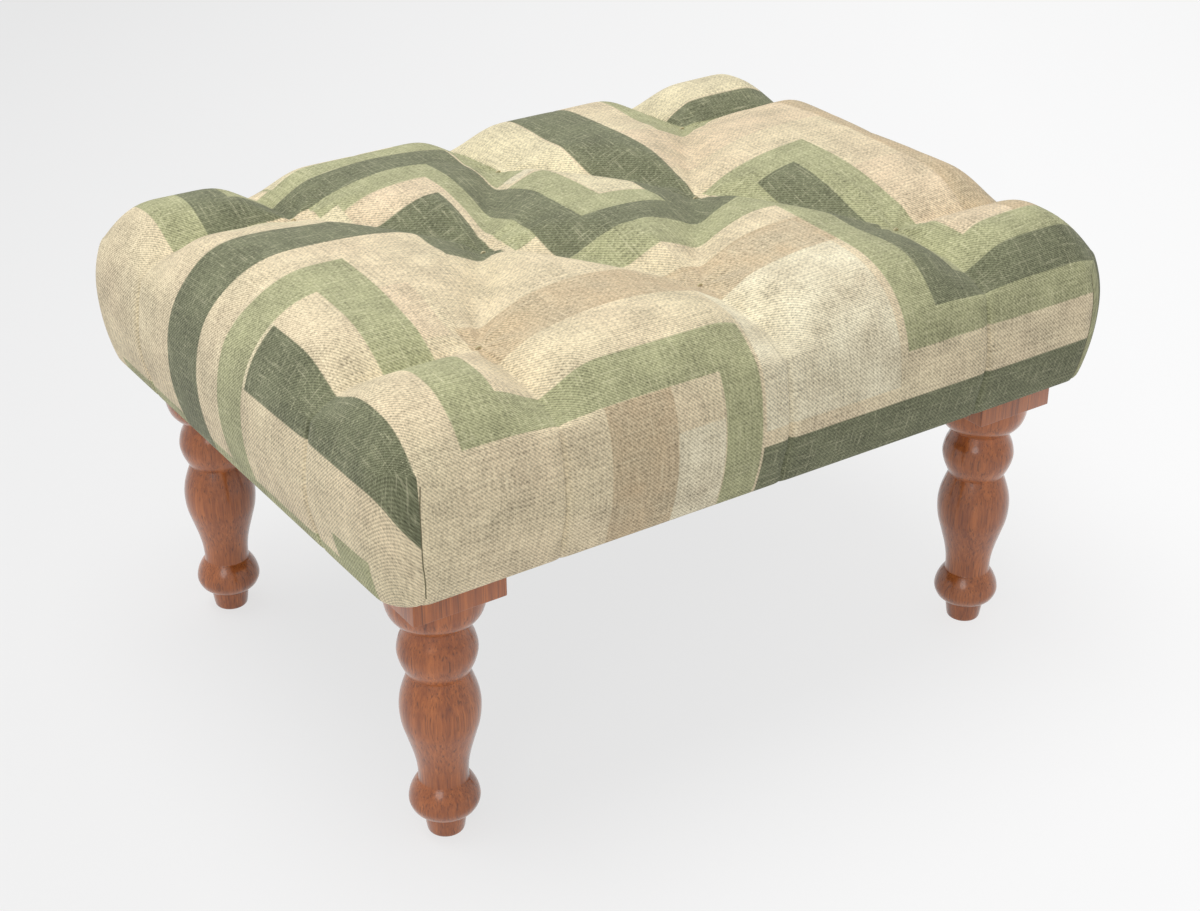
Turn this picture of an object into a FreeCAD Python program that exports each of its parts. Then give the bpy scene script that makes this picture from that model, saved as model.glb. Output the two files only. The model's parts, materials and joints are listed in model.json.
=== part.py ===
import FreeCAD, Part
import math
import operator
import os
import Sketcher

# Upholstered footstool: four turned legs, a railed frame with a plywood deck, foam and wadding
# under a sewn cover with eight tufts. Millimetres. +X runs along the long side, +Y to the back,
# +Z up. The origin is on the floor, midway between the four feet.

doc = FreeCAD.newDocument("Footstool")

# Driving dimensions, in millimetres. A level is a height above the floor.

SIZES = {
    # Frame
    "frame_length": 588.0,
    "frame_width": 448.0,
    "frame_level": 228.5,
    "rail_thickness": 22.0,
    "rail_height": 43.5,
    "cross_rail_spacing": 276.0,
    "deck_thickness": 9.0,
    # Legs
    "leg_inset_length": 50.0,
    "leg_inset_width": 47.0,
    "block_side": 70.0,
    "block_level": 197.0,
    "block_edge_round": 1.2,
    "foot_radius": 13.4,
    "foot_round": 2.0,
    "foot_top_radius": 14.8,
    "foot_top_level": 13.5,
    "ankle_radius": 17.8,
    "ankle_level": 15.5,
    "lower_bead_radius": 25.2,
    "lower_bead_level": 27.5,
    "collar_radius": 18.8,
    "collar_level": 44.0,
    "neck_radius": 17.6,
    "neck_start_level": 46.0,
    "neck_level": 57.0,
    "vase_radius": 28.2,
    "vase_level": 106.0,
    "throat_radius": 21.2,
    "throat_level": 133.0,
    "upper_bead_radius": 27.4,
    "upper_bead_level": 149.5,
    "groove_radius": 21.6,
    "groove_level": 164.0,
    "bowl_radius": 34.4,
    "bowl_level": 184.0,
    # Leg fixings
    "corner_block_side": 95.0,
    "corner_block_end": 30.0,
    "corner_block_thickness": 25.0,
    "bolt_diameter": 8.0,
    "bolt_depth_in_leg": 30.0,
    "bolt_stand_out": 2.0,
    "nut_barrel_diameter": 10.0,
    "nut_barrel_length": 9.0,
    "nut_flange_diameter": 22.0,
    "nut_flange_thickness": 1.5,
    # Dowels and screws
    "dowel_diameter": 8.0,
    "dowel_in_rail": 15.0,
    "dowel_in_end_grain": 24.0,
    "dowel_spacing": 20.0,
    "screw_diameter": 4.0,
    "screw_head_diameter": 8.0,
    "screw_head_height": 2.5,
    "deck_screw_length": 32.0,
    "deck_screw_pitch": 150.0,
    "block_screw_length": 40.0,
    "block_screw_offset": 80.0,
    "block_screw_wood": 26.0,
    "pattern_end_margin": 30.0,
    # Cushion
    "side_padding": 11.0,
    "corner_radius": 30.0,
    "side_bulge": 7.0,
    "bottom_tuck": 4.0,
    "bottom_trim": 1.5,
    "bulge_level": 285.0,
    "shoulder_level": 321.0,
    "shoulder_width": 44.0,
    "crown_level": 362.0,
    "crown_fall": 10.0,
    "cloth_thickness": 1.2,
    "wadding_thickness": 8.0,
    "hem_width": 22.0,
    # Tufts
    "tuft_column_spacing": 180.0,
    "tuft_row_spacing": 135.0,
    "middle_tuft_spacing": 190.0,
    "tuft_level": 338.0,
    "tuft_spread": 36.0,
    "fold_depth": 17.0,
    "fold_spread": 25.0,
    "tuft_hole_diameter": 7.0,
    "twine_diameter": 1.4,
    "stitch_length": 3.6,
    "tuft_washer_diameter": 22.0,
    "tuft_washer_thickness": 2.5,
    "knot_diameter": 7.6,
    # Corner seams
    "seam_inset": 22.0,
    "seam_thread_diameter": 1.0,
    "seam_start_level": 233.0,
    "seam_end_level": 312.0,
    # Underside
    "staple_crown": 10.0,
    "staple_wire": 0.6,
    "staple_width": 1.2,
    "staple_leg": 9.0,
    "cover_staple_inset": 5.5,
    "cover_staple_pitch": 50.0,
    "dust_cover_thickness": 0.8,
    "dust_cover_inset": 8.0,
    "dust_staple_inset": 15.0,
    "dust_staple_pitch": 60.0,
    # Clearances
    "soft_clearance": 0.3,
    "hole_clearance": 0.3,
    "leg_notch_clearance": 1.0,
}

sheet = doc.addObject("Spreadsheet::Sheet", "Sizes")
for row, (alias, number) in enumerate(SIZES.items(), start=1):
    sheet.set("A%d" % row, alias)
    sheet.set("B%d" % row, str(number))
    sheet.setAlias("B%d" % row, alias)
doc.recompute()


class Size:
    """A size that knows its value and the sheet formula that gives it."""

    def __init__(self, value, formula):
        self.value = value
        self.formula = formula

    def combine(self, other, sign, action):
        other = as_size(other)
        formula = "(%s %s %s)" % (self.formula, sign, other.formula)
        return Size(action(self.value, other.value), formula)

    def __add__(self, other):
        return self.combine(other, "+", operator.add)

    def __sub__(self, other):
        return self.combine(other, "-", operator.sub)

    def __mul__(self, other):
        return self.combine(other, "*", operator.mul)

    def __truediv__(self, other):
        return self.combine(other, "/", operator.truediv)

    def __neg__(self):
        return self.combine(-1, "*", operator.mul)


def as_size(number):
    """A plain number as a Size, and a Size as it is."""
    if isinstance(number, Size):
        return number
    return Size(float(number), "(%g)" % number)


def size(alias):
    """The driving dimension of this name."""
    return Size(float(sheet.get(alias)), "Sizes." + alias)


# Places that several pieces share.

CENTRE = as_size(0)
soft_clearance = size("soft_clearance")
hole_clearance = size("hole_clearance")
frame_level = size("frame_level")
rail_thickness = size("rail_thickness")
rail_height = size("rail_height")
frame_half_length = size("frame_length") / 2
frame_half_width = size("frame_width") / 2
inner_half_length = frame_half_length - rail_thickness
inner_half_width = frame_half_width - rail_thickness
cross_rail_x = size("cross_rail_spacing") / 2
deck_level = frame_level + rail_height
deck_top = deck_level + size("deck_thickness")
leg_x = frame_half_length - size("leg_inset_length")
leg_y = frame_half_width - size("leg_inset_width")
block_half = size("block_side") / 2
corner_block_side = size("corner_block_side")
corner_block_top = frame_level + size("corner_block_thickness")
screw_level = frame_level + size("corner_block_thickness") / 2
cushion_half_length = frame_half_length + size("side_padding")
cushion_half_width = frame_half_width + size("side_padding")
cloth_thickness = size("cloth_thickness")
cushion_bottom = frame_level - soft_clearance - cloth_thickness
staple_wire = size("staple_wire")
dust_cover_top = cushion_bottom - staple_wire
dust_cover_bottom = dust_cover_top - size("dust_cover_thickness")
tuft_level = size("tuft_level")
bolt_hole_diameter = size("bolt_diameter") + hole_clearance
twine_hole_diameter = size("twine_diameter") + soft_clearance * 2

ENDS = (-1, 1)
SIDE_NAMES = {-1: "left", 1: "right"}
DEPTH_NAMES = {-1: "front", 1: "back"}

tuft_places = [(size("tuft_column_spacing") * column, size("tuft_row_spacing") * row)
               for row in ENDS for column in (-1, 0, 1)]
tuft_places += [(size("middle_tuft_spacing") / 2 * side, CENTRE) for side in ENDS]


# Small tools of the modelling.

def bind(thing, sizes):
    """Ties each named property of an object to the formula of a size."""
    for path, value in sizes.items():
        thing.setExpression(path, as_size(value).formula)


def place(thing, x, y, z):
    """Ties the place of an object to three sizes."""
    bind(thing, {"Placement.Base.x": x, "Placement.Base.y": y, "Placement.Base.z": z})


def new(kind, name):
    """A new object whose Label is its name."""
    thing = doc.addObject(kind, name)
    thing.Label = name
    return thing


def box(name, low, high):
    """A box between two opposite corners."""
    block = new("Part::Box", name)
    bind(block, {"Length": as_size(high[0]) - low[0],
                 "Width": as_size(high[1]) - low[1],
                 "Height": as_size(high[2]) - low[2]})
    place(block, *low)
    return block


def cylinder(name, diameter, base, top, x=CENTRE, y=CENTRE):
    """An upright cylinder between two levels."""
    round_bar = new("Part::Cylinder", name)
    bind(round_bar, {"Radius": diameter / 2, "Height": as_size(top) - base})
    place(round_bar, x, y, base)
    return round_bar


def cut(name, base, tool):
    """The base without the tool."""
    result = new("Part::Cut", name)
    result.Base = base
    result.Tool = tool
    return result


def common(name, base, tool):
    """What the base and the tool share."""
    result = new("Part::Common", name)
    result.Base = base
    result.Tool = tool
    return result


def fuse(name, shapes):
    """Several overlapping shapes as one solid."""
    result = new("Part::MultiFuse", name)
    result.Shapes = shapes
    return result


def group(name, things):
    """Separate solids under one name."""
    result = new("Part::Compound", name)
    result.Links = things
    return result


def copies(name, pattern, places):
    """A group of copies of a pattern, each turned by a rotation and moved to a place."""
    links = []
    for number, (x, y, z, turn) in enumerate(places, start=1):
        link = new("App::Link", "%s_%d" % (name, number))
        link.LinkedObject = pattern
        link.LinkTransform = True
        link.Placement = FreeCAD.Placement(FreeCAD.Vector(0, 0, 0), turn)
        place(link, x, y, z)
        links.append(link)
    return group(name, links)


def turned(angle, x=0, y=0, z=0):
    """A rotation by an angle in degrees about an axis."""
    return FreeCAD.Rotation(FreeCAD.Vector(x, y, z), angle)


UPRIGHT = turned(0, z=1)
HALF_TURN = turned(180, z=1)
QUARTER_TURN = turned(90, z=1)
FACING_FRONT = turned(-90, x=1)
FACING_BACK = turned(90, x=1)
FACING_LEFT = turned(90, y=1)
FACING_RIGHT = turned(-90, y=1)


def spaced(span, pitch):
    """Distances from the middle of a row of places that fits in a span."""
    room = span.value - 2 * size("pattern_end_margin").value
    count = int(room // pitch.value) + 1
    return [pitch * (number - (count - 1) / 2) for number in range(count)]


def new_sketch(body, name, role):
    """A sketch on one of the body's own origin planes."""
    sketch = body.newObject("Sketcher::SketchObject", name)
    plane = next(feature for feature in body.Origin.OriginFeatures if feature.Role == role)
    sketch.AttachmentSupport = [(plane, "")]
    sketch.MapMode = "FlatFace"
    return sketch


def arc_between(start, end, centre):
    """The shorter arc between two points, and which of its ends is the start."""
    circle = Part.Circle(centre, FreeCAD.Vector(0, 0, 1), start.distanceToPoint(centre))
    first = math.atan2(start.y - centre.y, start.x - centre.x)
    last = math.atan2(end.y - centre.y, end.x - centre.x)
    sweep = (last - first) % (2 * math.pi)
    if sweep < math.pi:
        return Part.ArcOfCircle(circle, first, first + sweep), (1, 2)
    return Part.ArcOfCircle(circle, last, last + 2 * math.pi - sweep), (2, 1)


def draw_outline(sketch, corners, arcs):
    """A closed outline, with every corner tied to sizes.

    arcs names the edges that are round, by the number of the corner where each begins. Its value
    is the corner at whose level the arc's centre lies, where the outline runs upright.
    """
    points = [FreeCAD.Vector(as_size(x).value, as_size(y).value, 0) for x, y in corners]
    count = len(points)
    ends = []
    for edge, start in enumerate(points):
        end = points[(edge + 1) % count]
        if edge not in arcs:
            sketch.addGeometry(Part.LineSegment(start, end), False)
            ends.append((1, 2))
            continue
        level, other = (start, end) if arcs[edge] == edge else (end, start)
        across = other.x - level.x
        radius = (across ** 2 + (other.y - level.y) ** 2) / (2 * abs(across))
        centre = FreeCAD.Vector(level.x + math.copysign(radius, across), level.y, 0)
        arc, arc_ends = arc_between(start, end, centre)
        sketch.addGeometry(arc, False)
        ends.append(arc_ends)
    for edge in range(count):
        after = (edge + 1) % count
        sketch.addConstraint(Sketcher.Constraint("Coincident", edge, ends[edge][1], after, ends[after][0]))
    for edge, corner in enumerate(corners):
        for kind, distance in zip(("DistanceX", "DistanceY"), corner):
            rule = Sketcher.Constraint(kind, -1, 1, edge, ends[edge][0], as_size(distance).value)
            number = sketch.addConstraint(rule)
            sketch.setExpression("Constraints[%d]" % number, as_size(distance).formula)
    for edge, level_corner in arcs.items():
        end = ends[level_corner][0]
        sketch.addConstraint(Sketcher.Constraint("Horizontal", edge, 3, level_corner, end))


# Turned legs. Each is drawn about its own axis and placed under a corner of the frame.

def leg_outline(sketch):
    """Half of the turned outline, from the foot up to the inside of the square block."""
    neck = size("neck_radius")
    vase = size("vase_radius")
    waist_radius = (neck + vase) / 2
    waist_level = (size("neck_level") + size("vase_level")) / 2
    foot = size("foot_radius")
    foot_round = size("foot_round")
    bowl = size("bowl_radius")
    corners = [
        (CENTRE, CENTRE),
        (foot - foot_round, CENTRE),
        (foot, foot_round),
        (size("foot_top_radius"), size("foot_top_level")),
        (size("ankle_radius"), size("ankle_level")),
        (size("lower_bead_radius"), size("lower_bead_level")),
        (size("collar_radius"), size("collar_level")),
        (neck, size("neck_start_level")),
        (neck, size("neck_level")),
        (waist_radius, waist_level),
        (vase, size("vase_level")),
        (size("throat_radius"), size("throat_level")),
        (size("upper_bead_radius"), size("upper_bead_level")),
        (size("groove_radius"), size("groove_level")),
        (bowl, size("bowl_level")),
        (bowl, size("block_level") + block_half / 4),
        (CENTRE, size("block_level") + block_half / 4),
    ]
    arcs = {1: 2, 4: 5, 5: 5, 8: 8, 9: 10, 10: 10, 11: 12, 12: 12, 13: 14}
    draw_outline(sketch, corners, arcs)


def square_corners(half):
    """The corners of a square about the middle."""
    return [(-half, -half), (half, -half), (half, half), (-half, half)]


def make_leg(name):
    """One leg: turned below, square at the top, bored for its hanger bolt."""
    body = new("PartDesign::Body", name)
    outline = new_sketch(body, name + "_outline", "XZ_Plane")
    leg_outline(outline)
    turning = body.newObject("PartDesign::Revolution", name + "_turning")
    turning.Profile = outline
    turning.ReferenceAxis = (outline, ["V_Axis"])
    turning.Angle = 360

    square = new_sketch(body, name + "_square", "XY_Plane")
    bind(square, {"AttachmentOffset.Base.z": size("block_level")})
    draw_outline(square, square_corners(block_half), {})
    block = body.newObject("PartDesign::Pad", name + "_block")
    block.Profile = square
    bind(block, {"Length": frame_level - size("block_level")})
    doc.recompute()

    half = block_half.value
    corner_edges = []
    for number, edge in enumerate(block.Shape.Edges, start=1):
        ends = [vertex.Point for vertex in edge.Vertexes]
        at_corner = all(abs(abs(end.x) - half) < 1e-6 and abs(abs(end.y) - half) < 1e-6 for end in ends)
        if at_corner and len(ends) == 2 and abs(ends[0].z - ends[1].z) > half / 2:
            corner_edges.append("Edge%d" % number)
    rounding = body.newObject("PartDesign::Fillet", name + "_rounding")
    rounding.Base = (block, corner_edges)
    bind(rounding, {"Radius": size("block_edge_round")})

    mouth = new_sketch(body, name + "_bore_circle", "XY_Plane")
    bind(mouth, {"AttachmentOffset.Base.z": frame_level})
    circle = Part.Circle(FreeCAD.Vector(0, 0, 0), FreeCAD.Vector(0, 0, 1), bolt_hole_diameter.value / 2)
    mouth.addGeometry(circle, False)
    mouth.addConstraint(Sketcher.Constraint("Coincident", 0, 3, -1, 1))
    rule = mouth.addConstraint(Sketcher.Constraint("Diameter", 0, bolt_hole_diameter.value))
    mouth.setExpression("Constraints[%d]" % rule, bolt_hole_diameter.formula)
    bore = body.newObject("PartDesign::Pocket", name + "_bore")
    bore.Profile = mouth
    bind(bore, {"Length": size("bolt_depth_in_leg") + hole_clearance})
    return body


def make_legs():
    """The four legs and their places."""
    legs = []
    for depth in ENDS:
        for side in ENDS:
            leg = make_leg("leg_%s_%s" % (DEPTH_NAMES[depth], SIDE_NAMES[side]))
            place(leg, leg_x * side, leg_y * depth, CENTRE)
            legs.append(leg)
    return legs


# Fixings, each drawn once about its own axis and copied to its places.

def screw_pattern(name, length, clearance):
    """A countersunk screw that points down from its head at the origin."""
    shank = cylinder(name + "_shank", size("screw_diameter") + clearance, -length, CENTRE)
    head = new("Part::Cone", name + "_head")
    bind(head, {"Radius1": (size("screw_diameter") + clearance) / 2,
                "Radius2": (size("screw_head_diameter") + clearance) / 2,
                "Height": size("screw_head_height")})
    place(head, CENTRE, CENTRE, -size("screw_head_height"))
    return fuse(name, [shank, head])


def dowel_pattern(name, clearance):
    """A dowel along Y, across the joint between a long rail and the end of a short one."""
    bar = new("Part::Cylinder", name)
    bind(bar, {"Radius": (size("dowel_diameter") + clearance) / 2,
               "Height": size("dowel_in_rail") + size("dowel_in_end_grain") + clearance})
    bar.Placement = FreeCAD.Placement(FreeCAD.Vector(0, 0, 0), turned(-90, x=1))
    place(bar, CENTRE, -(size("dowel_in_rail") + clearance / 2), CENTRE)
    return bar


def staple_pattern(name):
    """A staple that lies along X under the frame, its crown's underside at the origin."""
    half_crown = size("staple_crown") / 2
    half_width = size("staple_width") / 2
    shapes = [box(name + "_crown", (-half_crown, -half_width, CENTRE), (half_crown, half_width, staple_wire))]
    for side in ENDS:
        leg_middle = (half_crown - staple_wire / 2) * side
        low = (leg_middle - staple_wire / 2, -half_width, CENTRE)
        high = (leg_middle + staple_wire / 2, half_width, size("staple_leg"))
        shapes.append(box("%s_leg_%s" % (name, SIDE_NAMES[side]), low, high))
    return fuse(name, shapes)


def dowel_places():
    """Two dowels in each end of the side rails and the cross rails."""
    middle = frame_level + rail_height / 2
    side_rail_x = frame_half_length - rail_thickness / 2
    return [(x * side, inner_half_width * depth, middle + size("dowel_spacing") / 2 * half,
             UPRIGHT if depth < 0 else HALF_TURN)
            for depth in ENDS for side in ENDS for x in (side_rail_x, cross_rail_x) for half in ENDS]


def deck_screw_places():
    """Rows of screws over every rail, heads flush with the deck."""
    rows_x = spaced(frame_half_length * 2, size("deck_screw_pitch"))
    rows_y = spaced(inner_half_width * 2, size("deck_screw_pitch"))
    places = [(x, (frame_half_width - rail_thickness / 2) * depth, deck_top, UPRIGHT)
              for depth in ENDS for x in rows_x]
    places += [(x * side, y, deck_top, UPRIGHT)
               for side in ENDS for x in (frame_half_length - rail_thickness / 2, cross_rail_x)
               for y in rows_y]
    return places


def block_screw_places():
    """Two screws in each corner block, one into each of the rails that meet there."""
    offset = size("block_screw_offset")
    wood = size("block_screw_wood")
    places = []
    for depth in ENDS:
        for side in ENDS:
            toward_long_rail = FACING_FRONT if depth < 0 else FACING_BACK
            toward_short_rail = FACING_LEFT if side < 0 else FACING_RIGHT
            places.append(((inner_half_length - offset) * side, (inner_half_width - wood) * depth,
                           screw_level, toward_long_rail))
            places.append(((inner_half_length - wood) * side, (inner_half_width - offset) * depth,
                           screw_level, toward_short_rail))
    return places


def leg_places(level):
    """A place over each leg's axis."""
    return [(leg_x * side, leg_y * depth, level, UPRIGHT) for depth in ENDS for side in ENDS]


def staple_places(inset, level, span_x, span_y, pitch):
    """A line of staples along each rail, at an inset from the rail's outer face."""
    places = [(x, (frame_half_width - inset) * depth, level, UPRIGHT)
              for depth in ENDS for x in spaced(span_x, pitch)]
    places += [((frame_half_length - inset) * side, y, level, QUARTER_TURN)
               for side in ENDS for y in spaced(span_y, pitch)]
    return places


def make_fixings():
    """Dowels, screws, bolts, nuts and staples as nodes, and the holes that they need."""
    nodes = []
    holes = []

    dowel_spots = dowel_places()
    nodes.append(copies("rail_dowels", dowel_pattern("dowel", CENTRE), dowel_spots))
    holes.append(copies("dowel_holes", dowel_pattern("dowel_hole", hole_clearance), dowel_spots))

    deck_spots = deck_screw_places()
    deck_length = size("deck_screw_length")
    nodes.append(copies("deck_screws", screw_pattern("deck_screw", deck_length, CENTRE), deck_spots))
    deck_hole = screw_pattern("deck_screw_hole", deck_length + hole_clearance, hole_clearance)
    holes.append(copies("deck_screw_holes", deck_hole, deck_spots))

    block_spots = block_screw_places()
    block_length = size("block_screw_length")
    nodes.append(copies("corner_block_screws", screw_pattern("block_screw", block_length, CENTRE), block_spots))
    narrow = screw_pattern("block_screw_tip_hole", block_length + hole_clearance, hole_clearance)
    sinking = cylinder("block_screw_sinking", size("screw_head_diameter") + hole_clearance,
                       CENTRE, corner_block_side)
    block_hole = fuse("block_screw_hole", [narrow, sinking])
    holes.append(copies("block_screw_holes", block_hole, block_spots))

    bolt_low = frame_level - size("bolt_depth_in_leg")
    bolt_high = corner_block_top + size("bolt_stand_out")
    bolt = cylinder("hanger_bolt", size("bolt_diameter"), bolt_low, bolt_high)
    nodes.append(copies("hanger_bolts", bolt, leg_places(CENTRE)))
    shaft_hole = cylinder("hanger_bolt_hole", bolt_hole_diameter, frame_level, corner_block_top)
    barrel_hole = cylinder("nut_barrel_hole", size("nut_barrel_diameter") + hole_clearance,
                           corner_block_top - size("nut_barrel_length") - hole_clearance, corner_block_top)
    bolt_hole = fuse("leg_fixing_hole", [shaft_hole, barrel_hole])
    holes.append(copies("leg_fixing_holes", bolt_hole, leg_places(CENTRE)))

    flange_top = corner_block_top + size("nut_flange_thickness")
    flange = cylinder("nut_flange", size("nut_flange_diameter"), corner_block_top, flange_top)
    barrel_low = corner_block_top - size("nut_barrel_length")
    barrel = cylinder("nut_barrel", size("nut_barrel_diameter"), barrel_low, flange_top)
    nut_bore = cylinder("nut_bore", bolt_hole_diameter, barrel_low, flange_top)
    nut = cut("tee_nut", fuse("nut_body", [flange, barrel]), nut_bore)
    nodes.append(copies("tee_nuts", nut, leg_places(CENTRE)))

    staple = staple_pattern("staple")
    cover_spots = staple_places(size("cover_staple_inset"), dust_cover_top, frame_half_length * 2,
                                frame_half_width * 2, size("cover_staple_pitch"))
    dust_spots = staple_places(size("dust_staple_inset"), dust_cover_bottom - staple_wire,
                               (leg_x - block_half) * 2, (leg_y - block_half) * 2,
                               size("dust_staple_pitch"))
    cover_staples = copies("cover_staples", staple, cover_spots)
    dust_staples = copies("dust_cover_staples", staple, dust_spots)
    nodes += [cover_staples, dust_staples]
    frame_holes = group("frame_holes", holes + [cover_staples, dust_staples])
    return nodes, frame_holes, cover_staples, dust_staples


# Frame: long rails, short rails and cross rails between them, corner blocks and the deck.

def make_rails(frame_holes):
    """The four outer rails and the two cross rails, drilled for what joins them."""
    rails = []
    for depth in ENDS:
        name = DEPTH_NAMES[depth] + "_rail"
        middle = (frame_half_width - rail_thickness / 2) * depth
        low = (-frame_half_length, middle - rail_thickness / 2, frame_level)
        high = (frame_half_length, middle + rail_thickness / 2, deck_level)
        rails.append(cut(name, box(name + "_board", low, high), frame_holes))
    for side in ENDS:
        outer_middle = frame_half_length - rail_thickness / 2
        for name, middle in (("%s_rail", outer_middle), ("%s_cross_rail", cross_rail_x)):
            name = name % SIDE_NAMES[side]
            low = (middle * side - rail_thickness / 2, -inner_half_width, frame_level)
            high = (middle * side + rail_thickness / 2, inner_half_width, deck_level)
            rails.append(cut(name, box(name + "_board", low, high), frame_holes))
    return rails


def make_corner_blocks(frame_holes):
    """Blocks glued and screwed into the corners, which the legs are bolted to."""
    blocks = []
    for depth in ENDS:
        for side in ENDS:
            name = "corner_block_%s_%s" % (DEPTH_NAMES[depth], SIDE_NAMES[side])
            body = new("PartDesign::Body", name + "_blank")
            plan = new_sketch(body, name + "_plan", "XY_Plane")
            reach = corner_block_side
            end = size("corner_block_end")
            corners = [(CENTRE, CENTRE), (reach, CENTRE), (reach, end), (end, reach), (CENTRE, reach)]
            draw_outline(plan, [(x * -side, y * -depth) for x, y in corners], {})
            pad = body.newObject("PartDesign::Pad", name + "_pad")
            pad.Profile = plan
            bind(pad, {"Length": size("corner_block_thickness")})
            place(body, inner_half_length * side, inner_half_width * depth, frame_level)
            blocks.append(cut(name, body, frame_holes))
    return blocks


def make_deck(frame_holes, tuft_holes):
    """The plywood deck, drilled for its screws and for the tuft twines."""
    low = (-frame_half_length, -frame_half_width, deck_level)
    high = (frame_half_length, frame_half_width, deck_top)
    holes = group("deck_holes", [frame_holes, tuft_holes])
    return cut("deck_board", box("deck_blank", low, high), holes)


# Cushion. One outline gives the cover's outside, and the same outline drawn in by an inset gives
# every layer under it.

def quarter_round(distance, radius):
    """How far a rounded corner has drawn in, at a distance short of its end."""
    if distance >= radius:
        return 0.0
    return radius - math.sqrt(radius ** 2 - (radius - max(distance, 0.0)) ** 2)


class SideCurve:
    """The bulging side, as two arcs that meet upright at the fullest level."""

    def __init__(self):
        self.bulge = size("side_bulge").value
        self.full_level = size("bulge_level").value
        self.bottom = (cushion_bottom - size("bottom_trim")).value
        self.shoulder = size("shoulder_level").value
        self.low_radius = self.arc_radius(self.bulge + size("bottom_tuck").value, self.full_level - self.bottom)
        self.high_radius = self.arc_radius(self.bulge, self.shoulder - self.full_level)

    @staticmethod
    def arc_radius(across, along):
        """The radius of an arc that starts upright and reaches this far across and along."""
        return (across ** 2 + along ** 2) / (2 * across)

    def reach(self, level):
        """How far the side stands out from the cushion's bottom line at a level."""
        radius = self.low_radius if level < self.full_level else self.high_radius
        return self.bulge - radius + math.sqrt(radius ** 2 - (level - self.full_level) ** 2)

    def levels(self, reach, inset):
        """The lowest and the highest level where the side stands out this far."""
        low_drop = self.drop(reach, self.low_radius)
        high_drop = self.drop(reach, self.high_radius)
        low = max(self.bottom + inset, self.full_level - low_drop)
        high = min(self.shoulder - inset, self.full_level + high_drop)
        return low, high

    def drop(self, reach, radius):
        """The height between the fullest level and where an arc has drawn in to a reach."""
        return math.sqrt(max(0.0, radius ** 2 - (radius - self.bulge + reach) ** 2))


side_curve = SideCurve()


def fold_lines():
    """The folds: between neighbouring tufts, and from the outer tufts to the edges."""
    far_x = cushion_half_length.value
    far_y = cushion_half_width.value
    column = size("tuft_column_spacing").value
    row = size("tuft_row_spacing").value
    middle = size("middle_tuft_spacing").value / 2
    lines = []
    for depth in ENDS:
        for side in ENDS:
            corner_tuft = (column * side, row * depth)
            lines.append((corner_tuft, (middle * side, 0.0)))
            lines.append(((0.0, row * depth), (middle * side, 0.0)))
            lines.append((corner_tuft, (column * side, far_y * depth)))
            lines.append((corner_tuft, (far_x * side, row * depth)))
        lines.append(((0.0, row * depth), (0.0, far_y * depth)))
    return lines


FOLDS = fold_lines()


def distance_to_line(x, y, line):
    """The distance from a place to a straight fold."""
    (x1, y1), (x2, y2) = line
    along_x = x2 - x1
    along_y = y2 - y1
    share = ((x - x1) * along_x + (y - y1) * along_y) / (along_x ** 2 + along_y ** 2)
    share = min(1.0, max(0.0, share))
    return math.hypot(x - x1 - share * along_x, y - y1 - share * along_y)


def top_height(x, y, inset):
    """The level of the cushion's top, with its tufts and folds, drawn in by an inset."""
    half_length = cushion_half_length.value - inset
    half_width = cushion_half_width.value - inset
    shoulder = size("shoulder_level").value
    width = size("shoulder_width").value
    rise = 1.0
    for distance in (half_length - abs(x), half_width - abs(y)):
        share = min(1.0, max(0.0, distance / width))
        rise *= 1 - (1 - share) ** 2
    crown = size("crown_level").value - size("crown_fall").value * (y / half_width) ** 2
    plain = shoulder + (crown - shoulder) * rise
    spread = size("tuft_spread").value
    dips = [0.0]
    for tuft_x, tuft_y in tuft_places:
        away = math.hypot(x - tuft_x.value, y - tuft_y.value) / spread
        dips.append((plain - tuft_level.value) * (1 + away ** 2) ** -1.5)
    for line in FOLDS:
        away = distance_to_line(x, y, line) / size("fold_spread").value
        dips.append(size("fold_depth").value * rise * math.exp(-away ** 2))
    return plain - max(dips) - inset


def half_width_at(x, level, inset):
    """Half the cushion's width at a place along it and at a level."""
    reach = side_curve.reach(level)
    to_end = cushion_half_length.value - inset + reach - abs(x)
    return cushion_half_width.value - inset + reach - quarter_round(to_end, size("corner_radius").value)


def round_edge(start, middle, end):
    """An arc through three points, or a line where they lie in one."""
    flatness = (middle - start).cross(end - start).Length / start.distanceToPoint(end)
    if flatness < 1e-4:
        return Part.LineSegment(start, end).toShape()
    return Part.Arc(start, middle, end).toShape()


def cushion_section(x, inset):
    """One closed section across the cushion: a line below, arcs up the sides and over the top."""
    end_reach = abs(x) - (cushion_half_length.value - inset)
    low, high = side_curve.bottom + inset, side_curve.shoulder - inset
    past_end = end_reach > 0
    if end_reach > side_curve.reach(low):
        low = side_curve.levels(end_reach, inset)[0]
    if past_end:
        high = side_curve.levels(end_reach, inset)[1]
    full = side_curve.full_level

    def side_point(level, side):
        return FreeCAD.Vector(x, side * half_width_at(x, level, inset), level)

    def top_point(y):
        return FreeCAD.Vector(x, y, high if past_end else top_height(x, y, inset))

    row = size("tuft_row_spacing").value
    crest = (row + cushion_half_width.value) / 2
    rows = [crest, row, row / 2, 0.0, -row / 2, -row, -crest]
    edges = [Part.LineSegment(side_point(low, -1), side_point(low, 1)).toShape()]
    for start, end in ((low, full), (full, high)):
        edges.append(round_edge(side_point(start, 1), side_point((start + end) / 2, 1), side_point(end, 1)))
    knots = [side_point(high, 1)] + [top_point(y) for y in rows] + [side_point(high, -1)]
    for start, end in zip(knots, knots[1:]):
        edges.append(round_edge(start, top_point((start.y + end.y) / 2), end))
    for start, end in ((high, full), (full, low)):
        edges.append(round_edge(side_point(start, -1), side_point((start + end) / 2, -1), side_point(end, -1)))
    return Part.Wire(edges)


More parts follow.
